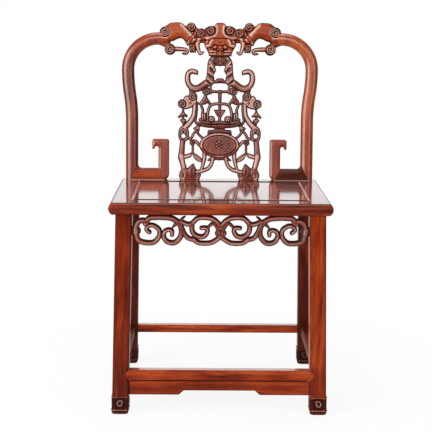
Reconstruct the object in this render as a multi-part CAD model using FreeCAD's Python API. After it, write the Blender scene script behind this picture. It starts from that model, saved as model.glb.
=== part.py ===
import FreeCAD, Part
import math
import os
from FreeCAD import Vector

# Side chair with a carved openwork back, in millimetres, +Z up, its front towards -Y.
# It is drawn with Y = 0 at the seat's front edge and moved to its middle when it is written.

# Seat frame and panel
seatWidth = 510.0
seatDepth = 410.0
seatHeight = 500.0
seatThickness = 28.0
railWidth = 52.0
edgeBulge = 9.0
seatCornerRadius = 8.0
panelRecess = 0.5
panelJoint = 1.0
tongueLength = 8.0
tongueThickness = 6.0
tongueRise = 16.0
cornerTenonWidth = 14.0
cornerTenonThickness = 8.0
cornerTenonRise = 6.0
cornerTenonInset = 32.0
cornerTenonStop = 8.0
battenWidth = 40.0
battenDepth = 14.0
dovetailHeight = 4.0
dovetailFlare = 3.0
battenTenonLength = 10.0
battenTenonHeight = 8.0
clearance = 0.2

# Legs: the foot stands further out than the top by the splay and the rake
frontLegWidth = 38.0
frontLegInset = 35.0
frontLegSetback = 31.0
frontLegSplay = 11.0
frontLegRake = 6.0
rearLegWidth = 36.0
rearLegInset = 32.0
rearLegSetback = 27.0
rearLegSplay = 9.0
rearLegRake = 33.0
legEase = 3.5
footHeight = 40.0
footFlare = 1.5
footRound = 4.0
longTenonHeight = 12.0
shortTenonHeight = 5.0
legTenonSize = 13.0
legTenonOffset = 10.0

# Aprons under the seat and stretchers near the floor
apronThickness = 14.0
plainApronHeight = 38.0
plainApronSetback = 6.0
apronTongueLength = 5.0
apronTongueThickness = 6.0
apronTongueMargin = 6.0
scrollApronHeight = 71.3
scrollApronSetback = 3.0
scrollTongueHeight = 18.0
scrollTongueRise = 23.0
stretcherTop = 108.0
frontStretcherHeight = 25.0
frontStretcherDepth = 24.0
frontStretcherSetback = 1.0
shoulderLength = 12.0
shoulderDepth = 8.0
sideStretcherHeight = 22.0
sideStretcherWidth = 20.0
sideStretcherSetback = 8.0
rearStretcherHeight = 21.0
rearStretcherDepth = 24.0
rearStretcherSetback = 6.0
stretcherTenonLength = 13.0
stretcherTenonThickness = 9.0
stretcherTenonMargin = 4.0
footrestHeight = 35.0
footrestThickness = 12.0
footrestSetback = 3.0
footrestRaise = 10.4
footrestRaisedWidth = 162.0
footrestSlope = 15.0
pinSize = 5.0
pinLength = 16.0

# Back: drawn upright over the seat and then leaned as one
backHeight = 399.0
backLean = 0.08
backSetback = 22.0
footAllowance = 6.0
postWidth = 32.0
postDepth = 28.0
postEase = 8.0
postInset = 30.2
postBow = 10.4
bowRise = 130.0
postTurnRadius = 78.0
armStraight = 5.0
armDrop = 39.4
armTenonLength = 18.0
armTenonSize = 12.0
pegInset = 9.0
backTenonDepth = 12.0
backTenonWidth = 10.0
backTenonThickness = 10.0
barHeight = 29.0
barReach = 52.0
barDepth = 24.0
barEase = 3.0
barTenonLength = 7.0
barTenonHeight = 10.0
barTenonThickness = 7.0
mitreFoot = 10.0
hookWidth = 27.5
hookHeight = 104.0
hookReach = 16.0
hookLip = 19.0
hookTipDrop = 8.0
hookTipWidth = 7.0
hookCornerRadius = 6.0
hookFootRadius = 12.0
crestHeight = 85.0
crestThickness = 22.0
maskThickness = 30.0
scrollThickness = 27.0
splatGap = 23.4
splatThickness = 16.0
medallionThickness = 21.0
splatFootInset = 30.0
splatTenonWidth = 20.0
splatTenonThickness = 8.0

# Worked out from the sizes above
seatHalf = seatWidth / 2
innerHalf = seatHalf - railWidth
seatUnder = seatHeight - seatThickness
tongueLow = seatUnder + tongueRise
backY = seatDepth - backSetback
postX = seatHalf - postInset
armHeight = backHeight - armDrop
crestHalf = postX + postBow - postTurnRadius - armStraight
postInner = postX - postWidth / 2
hookOuter = postInner - barReach
hookInner = hookOuter - hookWidth
splatHalf = hookInner - splatGap
splatTop = backHeight - crestHeight
leanAngle = math.degrees(math.atan(backLean))

# Each leg by its width and the places of its middle at the top and at the floor
frontLeg = {
    "width": frontLegWidth,
    "top": (seatHalf - frontLegInset, frontLegSetback),
    "foot": (seatHalf - frontLegInset + frontLegSplay, frontLegSetback - frontLegRake),
    "outward": -1,
}
rearLeg = {
    "width": rearLegWidth,
    "top": (seatHalf - rearLegInset, seatDepth - rearLegSetback),
    "foot": (seatHalf - rearLegInset + rearLegSplay, seatDepth - rearLegSetback + rearLegRake),
    "outward": 1,
}


# Basic solids

def block(x, y, z):
    return Part.makeBox(x[1] - x[0], y[1] - y[0], z[1] - z[0], Vector(x[0], y[0], z[0]))


def around(middle, size):
    return (middle - size / 2, middle + size / 2)


def wider(span, by):
    return (span[0] - by, span[1] + by)


def prism(axis, points, span):
    places = {
        "x": lambda a, b: Vector(span[0], a, b),
        "y": lambda a, b: Vector(a, span[0], b),
        "z": lambda a, b: Vector(a, b, span[0]),
    }
    runs = {"x": Vector(1, 0, 0), "y": Vector(0, 1, 0), "z": Vector(0, 0, 1)}
    corners = [places[axis](a, b) for a, b in points]
    face = Part.Face(Part.makePolygon(corners + corners[:1]))
    return face.extrude(runs[axis] * (span[1] - span[0]))


def roundedRectangle(width, depth, radius, middle):
    # Four straight sides and four corner arcs in a level plane
    x, y = width / 2, depth / 2
    turn = radius * (1 - math.sqrt(0.5))
    edges = []
    corners = [(1, -1, True), (1, 1, False), (-1, 1, True), (-1, -1, False)]
    for sx, sy, upright in corners:
        along = Vector(sx * (x - radius), sy * y, 0)
        bend = Vector(sx * (x - turn), sy * (y - turn), 0)
        beside = Vector(sx * x, sy * (y - radius), 0)
        first, last = (along, beside) if upright else (beside, along)
        edges.append((first, bend, last))
    outline = []
    for index, (first, bend, last) in enumerate(edges):
        following = edges[(index + 1) % 4][0]
        outline.append(Part.Arc(middle + first, middle + bend, middle + last).toShape())
        outline.append(Part.LineSegment(middle + last, middle + following).toShape())
    return Part.Wire(outline)


def easedRectangle(width, depth, ease, middle):
    # A rectangle in a level plane with its four corners taken off
    x, y = width / 2, depth / 2
    corners = [(x, ease - y), (x, y - ease), (x - ease, y), (ease - x, y),
               (-x, y - ease), (-x, ease - y), (ease - x, -y), (x - ease, -y)]
    points = [middle + Vector(a, b, 0) for a, b in corners]
    return Part.makePolygon(points + points[:1])


def pin(x, y, z, length, size):
    # Square pin that stands on its place
    return block(around(x, size), around(y, size), (z, z + length))


def mirrored(shape):
    return shape.mirror(Vector(0, 0, 0), Vector(1, 0, 0))


def joined(shapes):
    return shapes[0].multiFuse(shapes[1:]).removeSplitter()


# Legs

def legMiddle(leg, z):
    share = 1 - z / seatUnder
    x = leg["top"][0] + (leg["foot"][0] - leg["top"][0]) * share
    y = leg["top"][1] + (leg["foot"][1] - leg["top"][1]) * share
    return x, y


def legInside(leg, z):
    return legMiddle(leg, z)[0] - leg["width"] / 2


def legFront(leg, z):
    return legMiddle(leg, z)[1] - leg["width"] / 2


def legBack(leg, z):
    return legMiddle(leg, z)[1] + leg["width"] / 2


def legSection(leg, z, extra):
    x, y = legMiddle(leg, z)
    size = leg["width"] + 2 * extra
    return easedRectangle(size, size, legEase, Vector(x, y, z))


def slanted(leg, low, high, extra):
    # A stretch of the leg, its section carried along the leg's own slope
    start, end = legMiddle(leg, low), legMiddle(leg, high)
    run = Vector(end[0] - start[0], end[1] - start[1], high - low)
    return Part.Face(legSection(leg, low, extra)).extrude(run)


def legTenons(leg, extra):
    # A long tenon for the rail and a short one under the rail's own tenon in the end
    x, y = leg["top"]
    size = legTenonSize + 2 * extra
    out = leg["outward"]
    longY = y + out * legTenonOffset / 2
    shortY = y - out * legTenonOffset
    longOne = block(around(x - legTenonOffset, size), around(longY, size),
                    (seatUnder - extra, seatUnder + longTenonHeight + extra))
    shortOne = block(around(x + legTenonOffset, size), around(shortY, size),
                     (seatUnder - extra, seatUnder + shortTenonHeight + extra))
    return [longOne, shortOne]


def legBlank(leg):
    shaft = slanted(leg, footHeight, seatUnder, 0)
    foot = slanted(leg, footRound, footHeight - footRound, footFlare)
    wide = legSection(leg, footRound, footFlare)
    sole = Part.makeLoft([legSection(leg, 0, footFlare - footRound), wide], True, True)
    wide = legSection(leg, footHeight - footRound, footFlare)
    collar = Part.makeLoft([wide, legSection(leg, footHeight, 0)], True, True)
    return joined([shaft, collar, foot, sole] + legTenons(leg, 0))


# Seat

def railProfile():
    # Front edge bulges in one arc, the rest is square
    low, high = seatUnder, seatHeight
    bulge = Part.Arc(Vector(0, edgeBulge, low), Vector(0, 0, (low + high) / 2), Vector(0, edgeBulge, high))
    corners = [Vector(0, edgeBulge, high), Vector(0, railWidth, high),
               Vector(0, railWidth, low), Vector(0, edgeBulge, low)]
    sides = [Part.LineSegment(a, b).toShape() for a, b in zip(corners, corners[1:])]
    return Part.Face(Part.Wire([bulge.toShape()] + sides))


def seatPlan():
    middle = Vector(0, seatDepth / 2, seatUnder)
    outline = roundedRectangle(seatWidth, seatDepth, seatCornerRadius, middle)
    return Part.Face(outline).extrude(Vector(0, 0, seatThickness))


def panelTongue(extra):
    reachX = innerHalf + tongueLength + extra
    spanY = (railWidth - tongueLength - extra, seatDepth - railWidth + tongueLength + extra)
    return block((-reachX, reachX), spanY, (tongueLow, tongueLow + tongueThickness + extra))


def battenBody(extra):
    # Bar with a dovetail along its top
    half = battenWidth / 2
    foot = half - 2 * dovetailFlare + extra
    head = half - dovetailFlare + extra
    bottom = tongueLow - battenDepth
    top = tongueLow + dovetailHeight + extra
    outline = [(-half, bottom), (half, bottom), (half, tongueLow), (foot, tongueLow),
               (head, top), (-head, top), (-foot, tongueLow), (-half, tongueLow)]
    return prism("y", outline, (railWidth, seatDepth - railWidth))


def battenTenons(extra):
    low = tongueLow - battenDepth + extra
    spanZ = (low - 2 * extra, low + battenTenonHeight + extra)
    reach = battenTenonLength + extra
    spanX = around(0, battenWidth / 2 + 2 * extra)
    front = block(spanX, (railWidth - reach, railWidth + battenTenonLength), spanZ)
    rearInside = seatDepth - railWidth
    rear = block(spanX, (rearInside - battenTenonLength, rearInside + reach), spanZ)
    return [front, rear]


def seatBatten():
    return joined([battenBody(0)] + battenTenons(0))


def seatPanel():
    reachX = innerHalf - panelJoint
    spanY = (railWidth + panelJoint, seatDepth - railWidth - panelJoint)
    field = block((-reachX, reachX), spanY, (tongueLow, seatHeight - panelRecess))
    return joined([field, panelTongue(0)]).cut(battenBody(clearance))


def cornerTenon(extra):
    # Tenon of the front rail at its right corner
    spanY = wider((cornerTenonInset - cornerTenonWidth / 2, cornerTenonInset + cornerTenonWidth / 2), extra)
    low = seatUnder + cornerTenonRise
    spanZ = wider((low, low + cornerTenonThickness), extra)
    return block((innerHalf - railWidth / 2, seatHalf - cornerTenonStop + extra), spanY, spanZ)


def frontRailBlank():
    # The mitred bar with a tenon at each end
    bar = railProfile().extrude(Vector(seatWidth, 0, 0))
    bar.translate(Vector(-seatHalf, 0, 0))
    plan = [(-seatHalf, 0), (seatHalf, 0), (innerHalf, railWidth), (-innerHalf, railWidth)]
    bar = bar.common(prism("z", plan, (seatUnder, seatHeight)))
    return joined([bar, cornerTenon(0), mirrored(cornerTenon(0))])


def rightEndBlank():
    # The same profile turned to run along the side
    bar = railProfile().extrude(Vector(seatDepth, 0, 0))
    bar.rotate(Vector(0, 0, 0), Vector(0, 0, 1), 90)
    bar.translate(Vector(seatHalf, 0, 0))
    plan = [(seatHalf, 0), (seatHalf, seatDepth), (innerHalf, seatDepth - railWidth), (innerHalf, railWidth)]
    bar = bar.common(prism("z", plan, (seatUnder, seatHeight)))
    rear = turnedToRear(cornerTenon(clearance))
    return bar.cut(cornerTenon(clearance)).cut(rear)


def turnedToRear(shape):
    return shape.mirror(Vector(0, seatDepth / 2, 0), Vector(0, 1, 0))


def seatSockets():
    # Everything that enters the seat frame from inside, below and above
    sockets = [panelTongue(clearance)] + battenTenons(clearance)
    for leg in (frontLeg, rearLeg):
        for tenon in legTenons(leg, clearance):
            sockets += [tenon, mirrored(tenon)]
    for tenon in (postTenon(clearance), hookTenon(clearance), splatTenon(clearance)):
        sockets += [leaned(tenon), mirrored(leaned(tenon))]
    for hole in apronPinPlaces():
        sockets.append(pin(hole[0], hole[1], hole[2], pinLength + clearance, pinSize + 2 * clearance))
    return sockets


def seatFrame():
    plan = seatPlan()
    sockets = seatSockets()
    front = frontRailBlank()
    right = rightEndBlank()
    members = {
        "seat_front_rail": front,
        "seat_rear_rail": turnedToRear(front),
        "seat_right_end": right,
        "seat_left_end": mirrored(right),
    }
    return {name: member.common(plan).cut(sockets) for name, member in members.items()}


# Aprons

def sideApronParts(extra):
    # Board and tongue of the right side apron
    low, high = seatUnder - plainApronHeight, seatUnder
    outer = frontLeg["top"][0] + frontLegWidth / 2 - plainApronSetback
    board = prism("x", [(legBack(frontLeg, low), low), (legFront(rearLeg, low), low),
                        (legFront(rearLeg, high), high), (legBack(frontLeg, high), high)],
                  (outer - apronThickness, outer))
    lowTongue, highTongue = low + apronTongueMargin - extra, high - apronTongueMargin + extra
    reach = apronTongueLength + extra
    spanX = wider(around(outer - apronThickness / 2, apronTongueThickness), extra)
    tongue = prism("x", [(legBack(frontLeg, lowTongue) - reach, lowTongue),
                         (legFront(rearLeg, lowTongue) + reach, lowTongue),
                         (legFront(rearLeg, highTongue) + reach, highTongue),
                         (legBack(frontLeg, highTongue) - reach, highTongue)], spanX)
    return board, tongue


def rearApronParts(extra):
    low, high = seatUnder - plainApronHeight, seatUnder
    outer = rearLeg["top"][1] + rearLegWidth / 2 - plainApronSetback
    board = prism("y", [(-legInside(rearLeg, low), low), (legInside(rearLeg, low), low),
                        (legInside(rearLeg, high), high), (-legInside(rearLeg, high), high)],
                  (outer - apronThickness, outer))
    lowTongue, highTongue = low + apronTongueMargin - extra, high - apronTongueMargin + extra
    reach = apronTongueLength + extra
    wideLow, wideHigh = legInside(rearLeg, lowTongue) + reach, legInside(rearLeg, highTongue) + reach
    tongue = prism("y", [(-wideLow, lowTongue), (wideLow, lowTongue), (wideHigh, highTongue),
                         (-wideHigh, highTongue)],
                   wider(around(outer - apronThickness / 2, apronTongueThickness), extra))
    return board, tongue


# Carved boards

class Carving:
    # An openwork board whose right half is drawn at one size and stretched to the place it fills.
    # Places are (across, up) from the middle of the board's lower edge.

    def __init__(self, stretchX, stretchZ, thickness):
        self.stretchX = stretchX
        self.stretchZ = stretchZ
        self.thickness = thickness
        self.pieces = []

    def place(self, point):
        return Vector(point[0] * self.stretchX, 0, point[1] * self.stretchZ)

    def size(self, length):
        return length * (self.stretchX + self.stretchZ) / 2

    def add(self, wire, thickness):
        # The rear of the board is level; a greater thickness stands out in front
        front = (thickness or self.thickness) / 2
        solid = Part.Face(wire).extrude(Vector(0, front + self.thickness / 2, 0))
        solid.translate(Vector(0, -front, 0))
        self.pieces.append(solid)
        return solid

    def band(self, points, start, end, thickness=None):
        # A ribbon along a smooth curve; its width runs evenly from start to end, its tips are pointed
        middle = Part.BSplineCurve()
        middle.interpolate([self.place(point) for point in points])
        first, last = middle.FirstParameter, middle.LastParameter
        steps = 2 * (len(points) - 1)
        left, right = [], []
        for step in range(steps + 1):
            share = step / steps
            at = first + (last - first) * share
            along = middle.tangent(at)[0]
            aside = Vector(-along.z, 0, along.x) * (self.size(start + (end - start) * share) / 2)
            left.append(middle.value(at) + aside)
            right.append(middle.value(at) - aside)
        tip = middle.value(last) + middle.tangent(last)[0] * (self.size(end) / 2)
        root = middle.value(first) - middle.tangent(first)[0] * (self.size(start) / 2)
        ends = [(left[-1], tip), (tip, right[-1]), (right[0], root), (root, left[0])]
        lines = [Part.LineSegment(begin, finish).toShape() for begin, finish in ends]
        edges = self.arcs(left) + lines[:2] + self.arcs(right[::-1]) + lines[2:]
        return self.add(Part.Wire(edges), thickness)

    def strip(self, points, width, thickness=None):
        # A ribbon of straight runs with square ends
        places = [self.place(point) for point in points]
        left, right = [], []
        for before, place, after in zip(places[:1] + places, places, places[1:] + places[-1:]):
            along = (after - before).normalize()
            aside = Vector(-along.z, 0, along.x) * (self.size(width) / 2)
            left.append(place + aside)
            right.append(place - aside)
        outline = left + right[::-1]
        return self.add(Part.makePolygon(outline + outline[:1]), thickness)

    def arcs(self, points):
        # One arc through each point and its two neighbours, or a line where the three are in a row
        edges = []
        for start, bend, end in zip(points[0:-2:2], points[1:-1:2], points[2::2]):
            straight = (bend - start).cross(end - start).Length < clearance
            curve = Part.LineSegment(start, end) if straight else Part.Arc(start, bend, end)
            edges.append(curve.toShape())
        return edges

    def disc(self, middle, radius, thickness=None):
        circle = Part.Circle(self.place(middle), Vector(0, 1, 0), self.size(radius))
        return self.add(Part.Wire([circle.toShape()]), thickness)

    def oval(self, middle, halfWidth, halfHeight, thickness=None):
        centre = self.place(middle)
        side = centre + Vector(halfWidth * self.stretchX, 0, 0)
        top = centre + Vector(0, 0, halfHeight * self.stretchZ)
        longer = (side, top) if (side - centre).Length >= (top - centre).Length else (top, side)
        return self.add(Part.Wire([Part.Ellipse(longer[0], longer[1], centre).toShape()]), thickness)

    def leaf(self, points, thickness=None):
        # A closed outline that runs smoothly through its points
        curve = Part.BSplineCurve()
        curve.interpolate([self.place(point) for point in points], True)
        knots = curve.getKnots()
        outline = [curve.value(knots[0])]
        for begin, finish in zip(knots, knots[1:]):
            outline += [curve.value((begin + finish) / 2), curve.value(finish)]
        return self.add(Part.Wire(self.arcs(outline)), thickness)

    def plate(self, points, thickness=None):
        # A closed outline with straight sides
        corners = [self.place(point) for point in points]
        return self.add(Part.makePolygon(corners + corners[:1]), thickness)

    def board(self):
        return joined(self.pieces + [mirrored(piece) for piece in self.pieces])


def scrollStretch():
    # The front apron is drawn 201 to each side and fills the space between the front legs
    drawnHalf = 201.0
    return legInside(frontLeg, seatUnder) / drawnHalf


def scrollApronBoard():
    # End ring, running scroll, inner scroll and boat-shaped lower links of the front apron
    drawnHeight = 71.3
    carving = Carving(scrollStretch(), scrollApronHeight / drawnHeight, apronThickness)
    carving.band([(161, 30), (168, 39), (157, 47), (141, 34), (146, 12), (168, 5.5), (189, 15), (194, 38),
                  (182, 57), (169, 53)], 7, 11)
    carving.band([(170, 52), (158, 65), (125, 66), (99, 55), (90, 34), (100, 10), (120, 8), (130, 23),
                  (120, 36), (111, 28)], 11, 7)
    carving.strip([(95, 53), (108, 44)], 6)
    carving.strip([(95, 65), (87, 63), (87, 52)], 5)
    carving.band([(92, 54), (74, 50), (58, 60), (40, 66.5), (18, 62), (0, 40)], 9, 9)
    carving.band([(66, 51), (62, 30), (47, 21), (32, 29), (35, 42), (43, 40)], 9, 6)
    carving.band([(91, 44), (80, 24), (58, 14)], 8, 9)
    carving.band([(60, 15), (46, 5.5), (22, 6), (0, 22)], 9, 9)
    carving.strip([(31, 40), (20, 51), (5, 36)], 6)
    carving.plate([(0, 44), (8, 36), (11, 28), (6, 22), (0, 18)])
    return carving.board()


def scrollApronTongue(extra):
    # Tongue of the right end, from the end ring into the leg
    low = seatUnder - scrollApronHeight + scrollTongueRise
    spanZ = wider((low, low + scrollTongueHeight), extra)
    inside = legInside(frontLeg, spanZ[0])
    return block((inside - apronThickness, inside + apronTongueLength + extra),
                 wider(around(scrollApronY(), apronTongueThickness), extra), spanZ)


def scrollApronY():
    return legFront(frontLeg, seatUnder) + scrollApronSetback + apronThickness / 2


def apronPinPlaces():
    # Four square pins stand half in the apron's top scrolls and half in the front rail
    z = seatUnder - pinLength / 2
    return [(side * across * scrollStretch(), scrollApronY(), z) for across in (138, 39) for side in (-1, 1)]


def scrollApron():
    board = scrollApronBoard()
    board.translate(Vector(0, scrollApronY(), seatUnder - scrollApronHeight))
    below = block((-seatHalf, seatHalf), (0, seatDepth), (0, seatUnder))
    board = joined([board.common(below), scrollApronTongue(0), mirrored(scrollApronTongue(0))])
    for x, y, z in apronPinPlaces():
        board = board.cut(pin(x, y, z - clearance, pinLength, pinSize + 2 * clearance))
    return board


def apronPins():
    return Part.makeCompound([pin(x, y, z, pinLength, pinSize) for x, y, z in apronPinPlaces()])


# Stretchers

def stretcherSpan(height):
    return (stretcherTop - height, stretcherTop)


def tenonSpan(height, extra):
    low, high = stretcherSpan(height)
    return (low + stretcherTenonMargin - extra, high - stretcherTenonMargin + extra)


def crossBar(leg, spanY, spanZ, extend):
    # A bar between the sloping inner faces of a pair of legs
    low, high = spanZ
    wideLow, wideHigh = legInside(leg, low) + extend, legInside(leg, high) + extend
    return prism("y", [(-wideLow, low), (wideLow, low), (wideHigh, high), (-wideHigh, high)], spanY)


def frontStretcherY():
    return legFront(frontLeg, stretcherTop - frontStretcherHeight / 2) + frontStretcherSetback


def shoulders(front):
    # Pointed shoulders that lap over the front of both legs
    low, high = stretcherSpan(frontStretcherHeight)
    middle = (low + high) / 2
    point = legInside(frontLeg, middle) + shoulderLength
    outline = [(0, low), (legInside(frontLeg, low), low), (point, middle),
               (legInside(frontLeg, high), high), (0, high)]
    right = prism("y", outline, (front, frontStretcherY() + shoulderDepth))
    return joined([right, mirrored(right)])


def frontStretcherTenon(extra):
    y = frontStretcherY() + shoulderDepth
    spanY = wider((y, y + stretcherTenonThickness), extra)
    return crossBar(frontLeg, spanY, tenonSpan(frontStretcherHeight, extra), stretcherTenonLength + extra)


def frontStretcher():
    y = frontStretcherY()
    bar = crossBar(frontLeg, (y, y + frontStretcherDepth), stretcherSpan(frontStretcherHeight), 0)
    body = joined([bar, shoulders(y), frontStretcherTenon(0)])
    return body.cut(footrestPinHoles())


def rearStretcherParts(extra):
    y = legFront(rearLeg, stretcherTop - rearStretcherHeight / 2) + rearStretcherSetback
    bar = crossBar(rearLeg, (y, y + rearStretcherDepth), stretcherSpan(rearStretcherHeight), 0)
    spanY = wider(around(y + rearStretcherDepth / 2, stretcherTenonThickness), extra)
    tenon = crossBar(rearLeg, spanY, tenonSpan(rearStretcherHeight, extra), stretcherTenonLength + extra)
    return bar, tenon


def sideStretcherParts(extra):
    outer = legMiddle(frontLeg, stretcherTop)[0] + frontLegWidth / 2 - sideStretcherSetback
    middle = outer - sideStretcherWidth / 2

    def run(spanZ, spanX, extend):
        low, high = spanZ
        outline = [(legBack(frontLeg, low) - extend, low), (legFront(rearLeg, low) + extend, low),
                   (legFront(rearLeg, high) + extend, high), (legBack(frontLeg, high) - extend, high)]
        return prism("x", outline, spanX)

    bar = run(stretcherSpan(sideStretcherHeight), (outer - sideStretcherWidth, outer), 0)
    spanX = wider(around(middle, stretcherTenonThickness), extra)
    tenon = run(tenonSpan(sideStretcherHeight, extra), spanX, stretcherTenonLength + extra)
    return bar, tenon


# Footrest apron

def footrestTop():
    return stretcherTop - frontStretcherHeight


def footrestY():
    return frontStretcherY() + footrestSetback


def footrestBoard():
    # A board with a raised middle, under the front stretcher
    high = footrestTop()
    low = high - footrestHeight
    raised = low + footrestRaise
    half = footrestRaisedWidth / 2
    outline = [(0, high), (0, raised), (half, raised), (half + footrestSlope, low),
               (legInside(frontLeg, low), low), (legInside(frontLeg, high), high)]
    right = prism("y", outline, (footrestY(), footrestY() + footrestThickness))
    return joined([right, mirrored(right)])


def footrestTongue(extra):
    high = footrestTop() - apronTongueMargin + extra
    low = footrestTop() - footrestHeight + apronTongueMargin - extra
    spanY = wider(around(footrestY() + footrestThickness / 2, apronTongueThickness), extra)
    whole = crossBar(frontLeg, spanY, (low, high), apronTongueLength + extra)
    keep = block((footrestRaisedWidth, seatWidth), (0, seatDepth), (0, seatHeight))
    right = whole.common(keep)
    return [right, mirrored(right)]


def footrestPinPlaces():
    y = footrestY() + footrestThickness / 2
    z = footrestTop() - pinLength / 2
    spread = footrestRaisedWidth / 2 + 2 * footrestSlope
    return [(x, y, z) for x in (-spread, 0, spread)]


def footrestPinHoles():
    return [pin(x, y, z - clearance, pinLength + 2 * clearance, pinSize + 2 * clearance)
            for x, y, z in footrestPinPlaces()]


def footrestApron():
    return joined([footrestBoard()] + footrestTongue(0)).cut(footrestPinHoles())


def footrestPins():
    return Part.makeCompound([pin(x, y, z, pinLength, pinSize) for x, y, z in footrestPinPlaces()])


# Legs with every joint cut into them

def frontRightLeg():
    cuts = [sideApronParts(clearance)[1], scrollApronTongue(clearance), shoulders(-frontLegWidth),
            frontStretcherTenon(clearance), sideStretcherParts(clearance)[1], footrestTongue(clearance)[0]]
    return legBlank(frontLeg).cut(cuts)


def rearRightLeg():
    cuts = [sideApronParts(clearance)[1], rearApronParts(clearance)[1],
            rearStretcherParts(clearance)[1], sideStretcherParts(clearance)[1]]
    return legBlank(rearLeg).cut(cuts)


# Back: made upright with its middle plane at Y = 0 and its foot at Z = 0, then leaned over the rear rail

def leaned(shape):
    moved = shape.copy()
    moved.rotate(Vector(0, 0, 0), Vector(1, 0, 0), -leanAngle)
    moved.translate(Vector(0, backY, seatHeight))
    return moved


def onSeat(shape, tenons):
    # The leaned piece ends on the seat, and only its tenons go below
    air = block((-seatWidth, seatWidth), (0, 2 * seatDepth), (seatHeight, seatHeight + 2 * backHeight))
    return joined([leaned(shape).common(air)] + [leaned(tenon) for tenon in tenons])


def backTenon(x, width, spanY, extra):
    return block(wider(around(x, width), extra), wider(spanY, extra),
                 (-backTenonDepth - extra, footAllowance))


def postTenon(extra):
    # Behind the mitre, in the half that runs down to the seat
    return backTenon(postX - postWidth / 4, backTenonWidth, (0, backTenonThickness), extra)


def hookTenon(extra):
    return backTenon(hookOuter - hookWidth / 2, backTenonWidth, (0, backTenonThickness), extra)


def splatTenon(extra):
    return backTenon(splatHalf - splatFootInset, splatTenonWidth, around(0, splatTenonThickness), extra)


def postBlank():
    # A straight foot, two equal bends that bow outwards, a quarter turn inwards and a short level arm
    bend = 2 * math.degrees(math.atan(postBow / bowRise))
    bendRadius = bowRise / (2 * math.sin(math.radians(bend)))
    straight = armHeight - postTurnRadius - bowRise
    face = Part.Face(easedRectangle(postWidth, postDepth, postEase, Vector(postX, 0, -footAllowance)))
    stretches = []

    def run(way):
        nonlocal face
        stretches.append(face.extrude(way))
        face = face.translated(way)

    def turn(middle, angle):
        # Positive angles turn the post outwards as it rises
        nonlocal face
        axis = Vector(0, 1, 0)
        stretches.append(face.revolve(middle, axis, angle))
        face = face.rotated(middle, axis, angle)

    outside = postX + postBow
    run(Vector(0, 0, straight + footAllowance))
    turn(Vector(postX + bendRadius, 0, straight), bend)
    turn(Vector(outside - bendRadius, 0, straight + bowRise), -bend)
    turn(Vector(outside - postTurnRadius, 0, armHeight - postTurnRadius), -90)
    run(Vector(-armStraight, 0, 0))
    return joined(stretches)


def armTenon(extra):
    # Square tenon at the end of the arm, in the crest
    return block((crestHalf - armTenonLength - extra, crestHalf + postWidth / 2),
                 wider(around(0, armTenonSize), extra), wider(around(armHeight, armTenonSize), extra))


def crestPeg(extra):
    # Upright peg through the crest and the arm's tenon
    low = armHeight - armTenonSize / 2 - clearance
    return pin(crestHalf - pegInset, 0, low, pinLength + extra, pinSize + 2 * extra)


def footBar():
    # Bar between post and hooked upright: mitred in front, square behind, with a tenon at each end
    length = postX + postWidth / 2 - hookInner
    section = easedRectangle(barHeight + footAllowance, barDepth, barEase, Vector(0, 0, 0))
    bar = Part.Face(section).extrude(Vector(0, 0, length))
    bar.rotate(Vector(0, 0, 0), Vector(0, 1, 0), 90)
    bar.translate(Vector(hookInner, 0, (barHeight - footAllowance) / 2))

    def below(corner, foot):
        # Both mitres run from the inner corner to a point on the seat, and on below it
        return foot + (foot - corner) * footAllowance / barHeight

    postFoot = postX + postWidth / 2 - mitreFoot
    hookFoot = hookInner + hookFootRadius
    mitred = [(below(hookOuter, hookFoot), -footAllowance), (below(postInner, postFoot), -footAllowance),
              (postInner, barHeight), (hookOuter, barHeight)]
    front = bar.common(prism("y", mitred, (-barDepth, 0)))
    square = [(hookOuter, -footAllowance), (postInner, -footAllowance),
              (postInner, barHeight), (hookOuter, barHeight)]
    rear = bar.common(prism("y", square, (0, barDepth)))
    tenon = block((hookOuter - barTenonLength, postInner + barTenonLength), (0.0, barTenonThickness),
                  around(barHeight / 2, barTenonHeight))
    return joined([front, rear, tenon])


def backPost():
    blank = postBlank().cut(footBar())
    upright = joined([blank, armTenon(0)]).cut(crestPeg(clearance))
    return onSeat(upright, [postTenon(0)])


def hookUpright():
    # An upright that turns outwards at the top into a short beak
    top, lip = hookHeight, hookHeight - hookLip
    tip = hookOuter + hookReach
    bend = hookCornerRadius * (1 - math.sqrt(0.5))
    foot = hookFootRadius * (1 - math.sqrt(0.5))
    corner = [Vector(hookInner, 0, top - hookCornerRadius), Vector(hookInner + bend, 0, top - bend),
              Vector(hookInner + hookCornerRadius, 0, top)]
    far = [Vector(tip - hookCornerRadius, 0, top), Vector(tip - bend, 0, top - bend),
           Vector(tip, 0, top - hookCornerRadius)]
    beak = [Vector(tip, 0, lip - hookTipDrop), Vector(tip - hookTipWidth, 0, lip), Vector(hookOuter, 0, lip)]
    base = [Vector(hookOuter, 0, -footAllowance), Vector(hookInner + hookFootRadius, 0, -footAllowance)]
    heel = [Vector(hookInner + hookFootRadius, 0, 0), Vector(hookInner + foot, 0, foot),
            Vector(hookInner, 0, hookFootRadius)]
    edges = [Part.Arc(*corner), Part.LineSegment(corner[2], far[0]), Part.Arc(*far)]
    runs = [far[2]] + beak + base + [heel[0]]
    edges += [Part.LineSegment(a, b) for a, b in zip(runs, runs[1:])]
    edges += [Part.Arc(*heel), Part.LineSegment(heel[2], corner[0])]
    outline = Part.Face(Part.Wire([edge.toShape() for edge in edges]))
    blank = outline.extrude(Vector(0, barDepth, 0))
    blank.translate(Vector(0, -barDepth / 2, 0))
    return onSeat(blank.cut(footBar()), [hookTenon(0)])


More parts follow.
